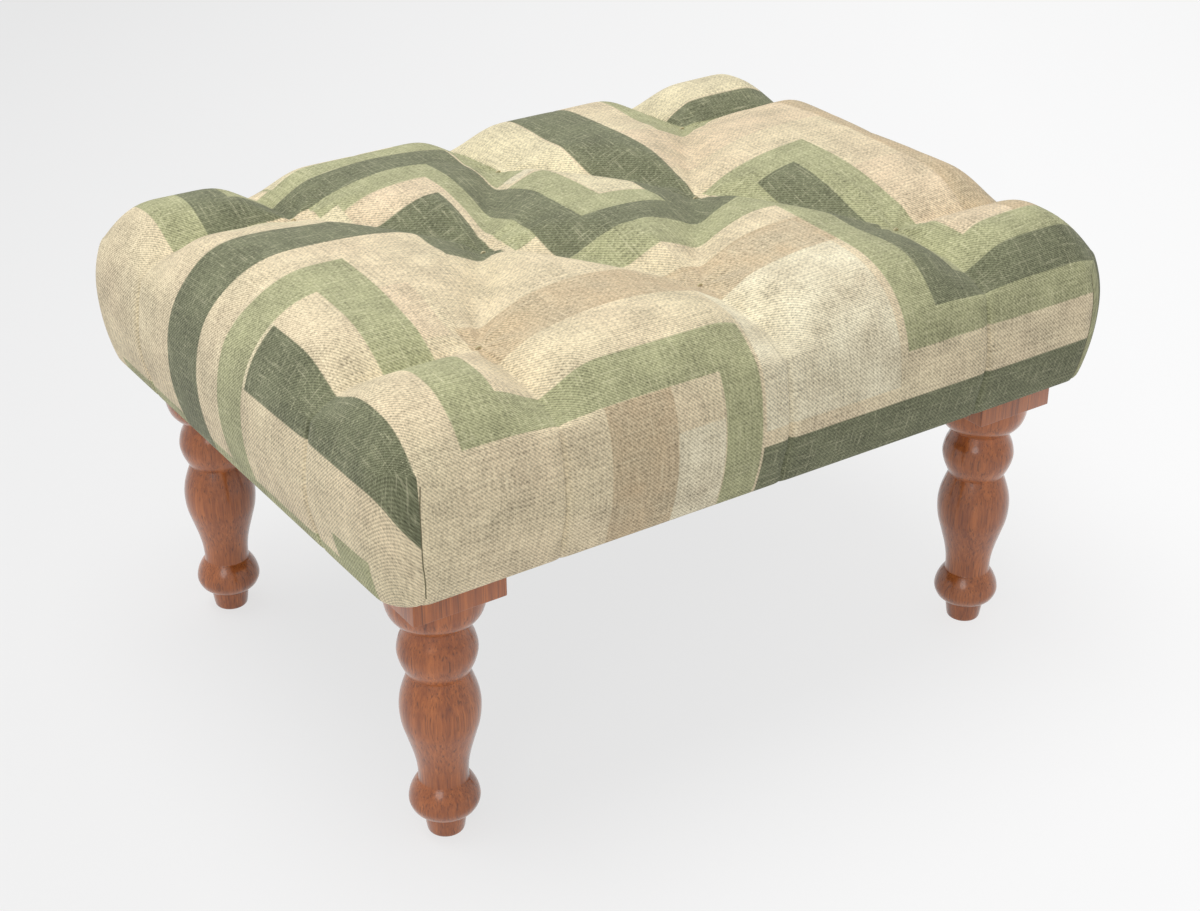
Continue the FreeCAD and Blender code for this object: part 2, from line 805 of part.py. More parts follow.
def cushion_stations(inset):
    """The places along the cushion where its sections stand."""
    column = size("tuft_column_spacing").value
    middle = size("middle_tuft_spacing").value / 2
    end = cushion_half_length.value - inset
    shoulder = size("shoulder_width").value
    bulge = size("side_bulge").value
    inner = [0.0, middle / 2, middle, (middle + column) / 2, column, (column + end - shoulder / 2) / 2]
    from_end = [-shoulder / 2, -shoulder / 4, -shoulder / 10, 0.0, bulge * 0.45, bulge * 0.75, bulge * 0.93]
    half = inner + [end + distance for distance in from_end]
    return [-x for x in reversed(half[1:])] + half


def room_above(name, level):
    """A box that takes in all of the cushion above a level."""
    reach_x = cushion_half_length + rail_thickness
    reach_y = cushion_half_width + rail_thickness
    top = size("crown_level") + rail_thickness
    return box(name, (-reach_x, -reach_y, level), (reach_x, reach_y, top))


def soft_form(name, inset):
    """A solid of the cushion's form, drawn in by an inset and trimmed flat at the bottom."""
    sections = [cushion_section(x, inset.value) for x in cushion_stations(inset.value)]
    room = room_above(name + "_room", cushion_bottom + inset)
    doc.recompute([room])
    form = new("Part::Feature", name)
    form.Shape = Part.makeLoft(sections, True, False).common(room.Shape)
    return form


def make_tuft_holes():
    """A hole under each tuft, through the padding and the deck."""
    hole = cylinder("tuft_hole", size("tuft_hole_diameter"), deck_level - rail_thickness,
                    size("crown_level") + rail_thickness)
    return copies("tuft_holes", hole, [(x, y, CENTRE, UPRIGHT) for x, y in tuft_places])


def make_cushion(tuft_holes, cover_staples):
    """The foam, the wadding round it, and the cover over both."""
    wadding_inset = cloth_thickness + soft_clearance
    space_inset = wadding_inset + size("wadding_thickness")
    foam_form = soft_form("foam_form", space_inset + soft_clearance)
    foam_block = common("foam_block", foam_form, room_above("foam_room", deck_top))
    foam = cut("foam_core", foam_block, tuft_holes)
    foam_space = common("foam_space", soft_form("foam_space_form", space_inset),
                        room_above("foam_space_room", deck_top))
    frame_space = box("frame_space",
                      (-frame_half_length - soft_clearance, -frame_half_width - soft_clearance, frame_level),
                      (frame_half_length + soft_clearance, frame_half_width + soft_clearance, deck_top))
    padding_space = group("padding_space", [foam_space, frame_space, tuft_holes])
    wadding = cut("wadding_layer", soft_form("wadding_form", wadding_inset), padding_space)

    hem = size("hem_width")
    opening = box("hem_opening",
                  (-cushion_half_length + hem, -cushion_half_width + hem, cushion_bottom - cloth_thickness),
                  (cushion_half_length - hem, cushion_half_width - hem, frame_level + soft_clearance))
    strand_hole = cylinder("strand_hole", twine_hole_diameter, tuft_level - rail_thickness,
                           tuft_level + rail_thickness)
    strand_spots = [(x + size("stitch_length") / 2 * side, y, CENTRE, UPRIGHT)
                    for x, y in tuft_places for side in ENDS]
    strand_holes = copies("strand_holes", strand_hole, strand_spots)
    shell = cut("cover_shell", soft_form("cover_form", CENTRE), soft_form("cover_space", cloth_thickness))
    openings = group("cover_openings", [opening, strand_holes, cover_staples])
    return [foam, wadding, cut("cover", shell, openings)]


# Tuft ties: a stitch of doubled twine through each dimple, knotted under a washer below the deck.

def make_tuft_ties():
    """The twines and the washers that they are knotted under."""
    diameter = size("twine_diameter")
    half_stitch = size("stitch_length") / 2
    washer_low = deck_level - size("tuft_washer_thickness")
    arch_level = tuft_level + soft_clearance + diameter / 2 - half_stitch
    knot_level = washer_low - hole_clearance - size("knot_diameter") / 2
    arch = new("Part::Torus", "twine_arch")
    bind(arch, {"Radius1": half_stitch, "Radius2": diameter / 2})
    arch.Angle3 = 180
    arch.Placement = FreeCAD.Placement(FreeCAD.Vector(0, 0, 0), turned(90, x=1))
    place(arch, CENTRE, CENTRE, arch_level)
    strands = [cylinder("twine_strand_" + SIDE_NAMES[side], diameter, knot_level, arch_level,
                        x=half_stitch * side) for side in ENDS]
    knot = new("Part::Sphere", "twine_knot")
    bind(knot, {"Radius": size("knot_diameter") / 2})
    knot.Placement = FreeCAD.Placement(FreeCAD.Vector(0, 0, 0), QUARTER_TURN)
    place(knot, CENTRE, CENTRE, knot_level)
    twine = fuse("tuft_twine", strands + [arch, knot])

    disc = cylinder("washer_disc", size("tuft_washer_diameter"), washer_low, deck_level)
    pierced = group("washer_holes", [
        cylinder("washer_hole_" + SIDE_NAMES[side], twine_hole_diameter, washer_low, deck_level,
                 x=half_stitch * side) for side in ENDS])
    washer = cut("tuft_washer", disc, pierced)
    spots = [(x, y, CENTRE, UPRIGHT) for x, y in tuft_places]
    return [copies("tuft_twines", twine, spots), copies("tuft_washers", washer, spots)]


# Corner seams: a thread down each upright seam of the cover, on the front and the back face.

def make_corner_seams():
    """One thread on each corner seam, following the bulge of the side."""
    diameter = size("seam_thread_diameter").value
    stand_off = soft_clearance.value + diameter / 2
    seam_x = cushion_half_length - size("seam_inset")
    low = size("seam_start_level").value
    high = size("seam_end_level").value
    full = side_curve.full_level

    def on_side(level):
        return FreeCAD.Vector(0, -stand_off - half_width_at(seam_x.value, level, 0.0), level)

    edges = [Part.Arc(on_side(start), on_side((start + end) / 2), on_side(end)).toShape()
             for start, end in ((low, full), (full, high))]
    path = Part.Wire(edges)
    direction = edges[0].tangentAt(edges[0].FirstParameter)
    ring = Part.Wire([Part.Circle(on_side(low), direction, diameter / 2).toShape()])
    thread = new("Part::Feature", "seam_thread")
    thread.Shape = path.makePipeShell([ring], True, False)
    spots = [(seam_x * side, CENTRE, CENTRE, UPRIGHT if depth < 0 else HALF_TURN)
             for depth in ENDS for side in ENDS]
    return copies("corner_seam_threads", thread, spots)


# Dust cover: a plain cloth under the frame, notched round the leg blocks.

def make_dust_cover(dust_staples):
    """The cloth that closes the underside."""
    body = new("PartDesign::Body", "dust_cover_cloth")
    plan = new_sketch(body, "dust_cover_plan", "XY_Plane")
    far_x = cushion_half_length - size("dust_cover_inset")
    far_y = cushion_half_width - size("dust_cover_inset")
    near_x = leg_x - block_half - size("leg_notch_clearance")
    near_y = leg_y - block_half - size("leg_notch_clearance")
    corners = []
    for side_x, side_y, first_x in ((1, -1, True), (1, 1, False), (-1, 1, True), (-1, -1, False)):
        notch = [(near_x, far_y), (near_x, near_y), (far_x, near_y)]
        if not first_x:
            notch.reverse()
        corners += [(x * side_x, y * side_y) for x, y in notch]
    draw_outline(plan, corners, {})
    pad = body.newObject("PartDesign::Pad", "dust_cover_pad")
    pad.Profile = plan
    bind(pad, {"Length": size("dust_cover_thickness")})
    place(body, CENTRE, CENTRE, dust_cover_bottom)
    return cut("dust_cover", body, dust_staples)


# The whole footstool, one node for each piece or group of like fixings.

nodes, frame_holes, cover_staples, dust_staples = make_fixings()
tuft_holes = make_tuft_holes()
nodes += make_legs()
nodes += make_rails(frame_holes)
nodes += make_corner_blocks(frame_holes)
nodes.append(make_deck(frame_holes, tuft_holes))
nodes += make_cushion(tuft_holes, cover_staples)
nodes += make_tuft_ties()
nodes.append(make_corner_seams())
nodes.append(make_dust_cover(dust_staples))
doc.recompute()

for thing in doc.Objects:
    if "Invalid" in thing.State or "Error" in thing.State:
        raise RuntimeError("%s did not build: %s" % (thing.Label, thing.State))
for node in nodes:
    if node.Shape.isNull() or not node.Shape.isValid():
        raise RuntimeError("%s has no valid shape" % node.Label)

os.makedirs("parts", exist_ok=True)
for node in nodes:
    node.Shape.exportStep("parts/%s.step" % node.Label)
    print("%s: %d solids, volume %.0f mm3" % (node.Label, len(node.Shape.Solids), node.Shape.Volume))
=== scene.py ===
import json
import logging
import math
from dataclasses import dataclass, field
from enum import Enum
from functools import partialmethod
from typing import Any, Dict, List, Optional, Sequence, Tuple

import bpy
import numpy as np
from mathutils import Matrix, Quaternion, Vector


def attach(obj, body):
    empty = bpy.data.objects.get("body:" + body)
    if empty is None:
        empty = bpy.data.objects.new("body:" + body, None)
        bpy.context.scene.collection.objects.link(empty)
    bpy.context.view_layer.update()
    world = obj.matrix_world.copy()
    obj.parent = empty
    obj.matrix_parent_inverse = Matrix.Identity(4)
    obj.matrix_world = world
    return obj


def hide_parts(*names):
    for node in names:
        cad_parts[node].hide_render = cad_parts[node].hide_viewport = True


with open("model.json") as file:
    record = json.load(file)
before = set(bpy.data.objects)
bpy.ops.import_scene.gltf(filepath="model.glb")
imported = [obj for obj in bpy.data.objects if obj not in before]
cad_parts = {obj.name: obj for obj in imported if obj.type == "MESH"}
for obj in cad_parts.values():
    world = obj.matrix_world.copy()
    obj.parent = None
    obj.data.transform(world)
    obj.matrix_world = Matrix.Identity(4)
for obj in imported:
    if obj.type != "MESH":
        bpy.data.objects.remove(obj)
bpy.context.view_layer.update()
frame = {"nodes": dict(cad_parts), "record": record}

# Upholstered footstool, in metres. +X runs along the long side, +Y to the back, +Z up.
# The looks: a printed, tufted cover over turned and lacquered legs, on a pale floor.

logging.basicConfig(level=logging.INFO, format="%(message)s")
log = logging.getLogger("footstool")

MM = 0.001
ROOT = "root"
CLOTH_MAP = "cloth"
WHITE = (1.0, 1.0, 1.0, 1.0)

Array = np.ndarray
Material = bpy.types.Material
Piece = bpy.types.Object
Colour = Tuple[float, float, float]
Point = Tuple[float, float, float]
Line = Tuple[Tuple[float, float], Tuple[float, float]]
Rectangle = Tuple[float, float, float, float]


class ClothColour(Enum):
    """The inks of the cover's print, as sRGB shares of full."""

    CREAM = (0.890, 0.845, 0.710)
    BLUSH = (0.880, 0.800, 0.680)
    PALE = (0.915, 0.880, 0.770)
    TAN = (0.785, 0.700, 0.570)
    SAGE = (0.690, 0.690, 0.535)
    GREEN = (0.480, 0.492, 0.385)


def linear(colour: Sequence[float]) -> Tuple[float, ...]:
    """Turns an sRGB colour into the linear one that a shader takes, with full alpha."""
    return (*(c / 12.92 if c <= 0.04045 else ((c + 0.055) / 1.055) ** 2.4 for c in colour), 1.0)


# Shader building


class Signal:
    """A number or vector that varies over a surface, with Python's own arithmetic."""

    def __init__(self, board: "Board", socket: bpy.types.NodeSocket) -> None:
        """Keeps the board that the signal belongs to and the socket that gives it."""
        self.board = board
        self.socket = socket

    def math(self, operation: str, *others: Any) -> "Signal":
        """Adds one Math node with this signal as its first value."""
        inputs = dict(enumerate((self,) + others))
        return self.board.add("ShaderNodeMath", {"operation": operation}, inputs)

    __add__ = __radd__ = partialmethod(math, "ADD")
    __sub__ = partialmethod(math, "SUBTRACT")
    __mul__ = partialmethod(math, "MULTIPLY")
    __truediv__ = partialmethod(math, "DIVIDE")

    def __rsub__(self, other: float) -> "Signal":
        """A number less this signal."""
        return self.board.add("ShaderNodeMath", {"operation": "SUBTRACT"}, {0: other, 1: self})

    def wave(self) -> "Signal":
        """The sine, brought between 0 and 1."""
        return self.math("SINE") * 0.5 + 0.5

    def clamped(self) -> "Signal":
        """The signal held between 0 and 1."""
        return self.board.add("ShaderNodeClamp", {}, {0: self, 1: 0.0, 2: 1.0})


class Board:
    """The nodes of one material or world."""

    def __init__(self, owner: bpy.types.ID) -> None:
        """Turns the owner's nodes on.

        Args:
            owner: The material or the world.
        """
        owner.use_nodes = True
        self.owner = owner
        self.tree = owner.node_tree
        self.shader = self.tree.nodes.get("Principled BSDF")

    def add(self, kind: str, settings: Dict[str, Any], inputs: Dict[Any, Any],
            output: Any = 0) -> Signal:
        """Adds one node.

        Args:
            kind: The node's type.
            settings: Its settings, which are set first.
            inputs: Values or signals by the socket's name or number.
            output: The socket that is wanted, by name or number.

        Returns:
            The wanted output.
        """
        node = self.tree.nodes.new(kind)
        for name, value in settings.items():
            setattr(node, name, value)
        for place, value in inputs.items():
            self.feed(node.inputs[place], value)
        return Signal(self, node.outputs[output])

    def feed(self, socket: bpy.types.NodeSocket, value: Any) -> None:
        """Gives a socket its input.

        Args:
            socket: The socket.
            value: A signal, which is linked, or a plain value.
        """
        if isinstance(value, Signal):
            self.tree.links.new(value.socket, socket)
        else:
            socket.default_value = value

    def surface(self, **inputs: Any) -> None:
        """Feeds the surface shader, with underscores for the spaces in socket names."""
        for name, value in inputs.items():
            self.feed(self.shader.inputs[name.replace("_", " ")], value)

    def vector(self, operation: str, *values: Any) -> Signal:
        """Adds one Vector Math node."""
        return self.add("ShaderNodeVectorMath", {"operation": operation}, dict(enumerate(values)))

    def scaled(self, place: Signal, sizes: Point) -> Signal:
        """Stretches a place by a factor along each axis."""
        return self.vector("MULTIPLY", place, sizes)

    def parts(self, vector: Signal) -> List[Signal]:
        """The three parts of a vector."""
        first = self.add("ShaderNodeSeparateXYZ", {}, {0: vector})
        return [Signal(self, first.socket.node.outputs[number]) for number in range(3)]

    def object_place(self) -> Signal:
        """The place on the piece, in metres."""
        return self.add("ShaderNodeTexCoord", {}, {}, "Object")

    def cloth_place(self) -> Signal:
        """The place on the flat cloth, in metres."""
        return self.add("ShaderNodeUVMap", {"uv_map": CLOTH_MAP}, {})

    def noise(self, place: Signal, scale: float, detail: float = 2.0, rough: float = 0.5) -> Signal:
        """Soft noise around a half, with patches of a scale and finer layers."""
        return self.add("ShaderNodeTexNoise", {}, {
            "Vector": place, "Scale": scale, "Detail": detail, "Roughness": rough})

    def mix(self, share: Any, first: Any, second: Any, blend: str = "MIX") -> Signal:
        """Mixes two colours."""
        settings = {"data_type": "RGBA", "blend_type": blend}
        return self.add("ShaderNodeMix", settings, {"Factor": share, 6: first, 7: second}, 2)

    def bump(self, height: Signal, strength: float, distance: float) -> Signal:
        """Turns a height into a normal."""
        return self.add("ShaderNodeBump", {}, {
            "Strength": strength, "Distance": distance, "Height": height}, "Normal")

    def looked_at(self) -> Signal:
        """Tells the rays that look at a surface from those that only light others.

        Returns:
            1 for a ray from the camera, a mirroring or a transmission, else 0.
        """
        seen = self.add("ShaderNodeLightPath", {}, {}, "Is Camera Ray")
        for ray in ("Is Glossy Ray", "Is Transmission Ray"):
            seen = seen.math("MAXIMUM", self.add("ShaderNodeLightPath", {}, {}, ray))
        return seen

    def show(self, share: Signal, plain: bpy.types.Node, shown: Signal, output: str) -> None:
        """Mixes what is seen into a plain shader's node, and gives the mix to an output's node."""
        mixed = self.add("ShaderNodeMixShader", {}, {0: share, 1: Signal(self, plain.outputs[0]), 2: shown})
        self.feed(self.tree.nodes[output].inputs["Surface"], mixed)


def new_board(name: str) -> Board:
    """Makes a material with a plain surface shader."""
    return Board(bpy.data.materials.new(name))


# Finishes


# The print, from the first layer to the last. Right-angle bands nest in one another. Each is a
# rectangle's left, right, low and high on the flat cloth, in millimetres from its middle.
PRINT: List[Tuple[ClothColour, List[Rectangle]]] = [
    (ClothColour.PALE, [
        (-22, 96, -300, -118), (-94, -56, -420, -280), (-20, 46, 80, 420)]),
    (ClothColour.TAN, [
        (-185, 112, -160, -114), (-146, -94, -420, -247), (248, 306, -185, 150)]),
    (ClothColour.BLUSH, [
        (190, 250, -183, -60), (-250, -190, -120, -60), (98, 250, 40, 110)]),
    (ClothColour.SAGE, [
        (-420, -212, -45, -8), (-250, -212, -247, -8), (-250, -25, -247, -210), (-440, -388, -215, -168),
        (-440, -409, -215, 190), (-55, -25, -420, -210), (103, 200, -60, 2), (103, 200, -275, 2),
        (103, 420, -275, -185), (-62, 200, -88, -52), (-278, -200, 126, 420), (-215, -25, 172, 200),
        (-170, -15, 198, 300), (-165, -48, 108, 142), (-80, -40, -20, 142), (-28, 6, -28, 75),
        (-28, 58, -28, 0), (-25, 2, 95, 420), (138, 182, 112, 420), (138, 420, 118, 160)]),
    (ClothColour.GREEN, [
        (-420, -88, 26, 76), (-138, -88, -22, 76), (-337, -288, -420, -48), (-247, -215, 126, 420),
        (-247, -28, 140, 172), (-62, -27, -54, 172), (-62, 98, -54, -26), (48, 98, -54, 420),
        (133, 168, -248, -28), (133, 420, -248, -212), (-23, 420, -420, -312), (-110, -5, 232, 262),
        (182, 290, 138, 160), (286, 325, 138, 420)]),
    (ClothColour.CREAM, [
        (-247, -150, 96, 120), (-168, -60, 196, 226), (2, 46, 95, 420),
        (8, 46, 2, 96), (182, 284, 162, 420), (-337, -288, -48, -45)]),
    (ClothColour.BLUSH, [(-150, -80, 76, 110)]),
]


@dataclass(frozen=True)
class PrintedCloth:
    """A twill linen with a printed pattern, read on the flat cloth in millimetres."""

    name: str = "printed_cloth"
    rib_pitch: float = 2.7
    thread_pitch: float = 3.51
    slub_length: float = 0.035
    slub_width: float = 0.60
    edge_blur: float = 1.1
    edge_wander: float = 1.6
    relief: float = 0.35 * MM
    # The pale cream of the painted highlight on the thick slubs.
    speck_highlight: Colour = (0.87, 0.84, 0.72)
    patchy: Tuple[ClothColour, ...] = (ClothColour.TAN, ClothColour.BLUSH, ClothColour.PALE)

    def layer(self, board: Board, place: Signal, layer: Sequence[Rectangle]) -> Signal:
        """How much of a layer covers each place.

        Args:
            board: The material's nodes.
            place: The place on the cloth, in millimetres.
            layer: Rectangles of one colour.

        Returns:
            1 inside the rectangles, 0 outside, with a soft edge.
        """
        outside: Optional[Signal] = None
        for left, right, low, high in layer:
            centre = ((left + right) / 2, (low + high) / 2, 0.0)
            half = ((right - left) / 2, (high - low) / 2, 0.0)
            apart = board.vector("ABSOLUTE", board.vector("SUBTRACT", place, centre))
            across, along, _ = board.parts(board.vector("SUBTRACT", apart, half))
            past = across.math("MAXIMUM", along)
            outside = past if outside is None else outside.math("MINIMUM", past)
        return (0.5 - outside / self.edge_blur).clamped()

    def make(self) -> Material:
        """Builds the material.

        Returns:
            The material.
        """
        board = new_board(self.name)
        flat = board.scaled(board.cloth_place(), (1 / MM, 1 / MM, 0.0))
        across, along, _ = board.parts(flat)
        turn = 2 * math.pi

        sizes = (self.slub_length, self.slub_width)
        slubs_along, slubs_across = (
            board.noise(board.scaled(flat, (*pair, 1.0)), 1.0, 3.0, 0.65) for pair in (sizes, sizes[::-1]))
        grain = board.noise(flat, 0.42, 3.0, 0.7)
        patches = board.noise(flat, 0.035)
        tint = board.noise(flat, 0.012)

        wander = (grain - 0.5) * self.edge_wander
        moved = board.add("ShaderNodeCombineXYZ", {}, {
            0: across + wander, 1: along - wander, 2: 0.0})

        colour = board.mix(tint, linear(ClothColour.CREAM.value), linear(ClothColour.BLUSH.value))
        for ink, layer in PRINT:
            share = self.layer(board, moved, layer)
            if ink in self.patchy:
                share = share * (patches * 1.2 + 0.15).clamped()
            colour = board.mix(share, colour, linear(ink.value))

        rib = ((across + along) * (turn / self.rib_pitch) + (slubs_across - 0.5) * 2.0).wave()
        thread = ((across - along) * (turn / self.thread_pitch) + (slubs_along - 0.5) * 3.0).wave()
        weave = rib * 0.8 + thread * 0.2
        mottle = (slubs_along + slubs_across) * 0.5
        light = (0.71 + weave * 0.44 + (mottle - 0.5) * 1.5 + (grain - 0.5) * 1.5
                 + (patches - 0.5) * 0.6)
        shade = board.add("ShaderNodeCombineColor", {}, {0: light, 1: light, 2: light - 0.01})
        colour = board.mix(1.0, colour, shade, "MULTIPLY")
        # Painted highlight: the thick slubs and the grain's peaks are lightened towards a pale cream.
        thick = slubs_along.math("MAXIMUM", slubs_across)
        painted_highlight = ((thick - 0.57) * 7.0).clamped() * 0.3 + ((grain - 0.58) * 8.0).clamped() * 0.3
        colour = board.mix(painted_highlight, colour, linear(self.speck_highlight))

        height = weave + (mottle - 0.5) * 2.4
        board.surface(
            Base_Color=colour, Roughness=0.9, Specular_IOR_Level=0.18, Sheen_Weight=0.12,
            Sheen_Roughness=0.5, Normal=board.bump(height, 0.8, self.relief))
        return board.owner


@dataclass(frozen=True)
class WoodFinish:
    """A wood with long grain, pores and a lacquer of its own gloss."""

    name: str
    dark: Colour
    light: Colour
    pores: float
    roughness: float
    lacquer: float
    grain_axis: int = 2
    grain_share: float = 0.045
    pore_share: float = 0.02
    relief: float = 0.12 * MM

    def drawn_out(self, board: Board, share: float) -> Signal:
        """The place on the piece, with all patterns drawn out along the grain."""
        sizes = [share if axis == self.grain_axis else 1.0 for axis in range(3)]
        return board.scaled(board.object_place(), tuple(sizes))

    def make(self) -> Material:
        """Builds the material.

        Returns:
            The material.
        """
        board = new_board(self.name)
        long_place = self.drawn_out(board, self.grain_share)
        figure = board.noise(long_place, 130.0, 4.0, 0.65)
        fine = board.noise(long_place, 600.0, 3.0, 0.7)
        pores = board.noise(self.drawn_out(board, self.pore_share), 900.0)
        cloud = board.noise(board.object_place(), 14.0)

        share = (figure - 0.5) * 1.5 + (fine - 0.5) * 1.3 + (cloud - 0.5) * 0.5 + 0.5
        colour = board.mix(share.clamped(), linear(self.dark), linear(self.light))
        pore = ((pores - 0.57) * 9.0).clamped() * self.pores
        dark_pore = linear(tuple(c * 0.55 for c in self.dark))
        colour = board.mix(pore, colour, dark_pore)
        height = (fine - 0.5) * 0.4 - pore
        board.surface(
            Base_Color=colour, Roughness=self.roughness + (figure - 0.5) * 0.12,
            Coat_Weight=self.lacquer, Coat_Roughness=0.12, Specular_IOR_Level=0.45,
            Normal=board.bump(height, 0.35, self.relief))
        return board.owner


@dataclass(frozen=True)
class PlainFinish:
    """A plain stuff with fine mottling, such as steel, plastic, thread or non-woven cloth."""

    name: str
    colour: Colour
    roughness: float
    metallic: float = 0.0
    grain_size: float = 1.0 * MM
    variation: float = 0.25
    relief: float = 0.05 * MM

    def make(self) -> Material:
        """Builds the material.

        Returns:
            The material.
        """
        board = new_board(self.name)
        place = board.object_place()
        grain = board.noise(place, 1.0 / self.grain_size, 3.0, 0.6)
        cloud = board.noise(place, 0.12 / self.grain_size)
        shift = (grain - 0.5) * self.variation + (cloud - 0.5) * self.variation
        dark = linear(tuple(c * 0.7 for c in self.colour))
        pale = linear(tuple(min(1.0, c * 1.15) for c in self.colour))
        colour = board.mix((shift + 0.6).clamped(), dark, pale)
        board.surface(
            Base_Color=colour, Roughness=self.roughness + (grain - 0.5) * 0.15,
            Metallic=self.metallic, Normal=board.bump(grain, 0.4, self.relief))
        return board.owner


# Small tools of the modelling


def clear_selection() -> None:
    """Deselects every object."""
    bpy.ops.object.select_all(action="DESELECT")


def take(piece: Piece) -> None:
    """Makes one object the only one selected, and active.

    Args:
        piece: The object.
    """
    clear_selection()
    piece.select_set(True)
    bpy.context.view_layer.objects.active = piece


def settle(piece: Piece) -> None:
    """Puts the object's place, turn and scale into its mesh."""
    take(piece)
    bpy.ops.object.transform_apply(location=True, rotation=True, scale=True)


def open_mesh() -> None:
    """Goes into edit mode with the whole mesh selected."""
    bpy.ops.object.mode_set(mode="EDIT")
    bpy.ops.mesh.select_all(action="SELECT")


def close_mesh() -> None:
    """Turns all faces outward and leaves edit mode."""
    bpy.ops.mesh.select_all(action="SELECT")
    bpy.ops.mesh.normals_make_consistent(inside=False)
    bpy.ops.object.mode_set(mode="OBJECT")


def start_disc(sides: int, radius: float, place: Point = (0.0, 0.0, 0.0)) -> Piece:
    """Adds a flat round end to be extruded, and goes into edit mode.

    Args:
        sides: The corners of its outline.
        radius: Its radius.
        place: Its middle.

    Returns:
        The piece.
    """
    clear_selection()
    bpy.ops.mesh.primitive_circle_add(vertices=sides, radius=radius, fill_type="NGON", location=place)
    piece = bpy.context.active_object
    settle(piece)
    open_mesh()
    return piece


def join(pieces: Sequence[Piece]) -> Piece:
    """Joins pieces into the first of them.

    Args:
        pieces: The pieces.

    Returns:
        The first piece, which now holds them all.
    """
    take(pieces[0])
    for piece in pieces[1:]:
        piece.select_set(True)
    bpy.ops.object.join()
    return pieces[0]


def apply_modifier(piece: Piece, kind: str, **settings: Any) -> None:
    """Adds one modifier and applies it.

    Args:
        piece: The object.
        kind: The modifier's type.
        settings: Its settings.
    """
    take(piece)
    modifier = piece.modifiers.new(kind.lower(), kind)
    for name, value in settings.items():
        setattr(modifier, name, value)
    bpy.ops.object.modifier_apply(modifier=modifier.name)


def read_vectors(data: bpy.types.Mesh, name: str) -> Array:
    """Reads a vector of every vertex.

    Args:
        data: The mesh.
        name: The vector's name, such as co or normal.

    Returns:
        The vectors, one row each.
    """
    flat = np.empty(len(data.vertices) * 3)
    data.vertices.foreach_get(name, flat)
    return flat.reshape(-1, 3)


def set_points(piece: Piece, points: Array) -> None:
    """Moves a mesh's vertices."""
    piece.data.vertices.foreach_set("co", points.ravel())
    piece.data.update()


def dress(piece: Piece, name: str, material: Material) -> None:
    """Names a new piece, gives it its material and lets it ride on the stool.

    Args:
        piece: The piece.
        name: Its name.
        material: Its material.
    """
    piece.name = name
    piece.data.name = name
    piece.data.materials.clear()
    piece.data.materials.append(material)
    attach(piece, ROOT)


# Cushion


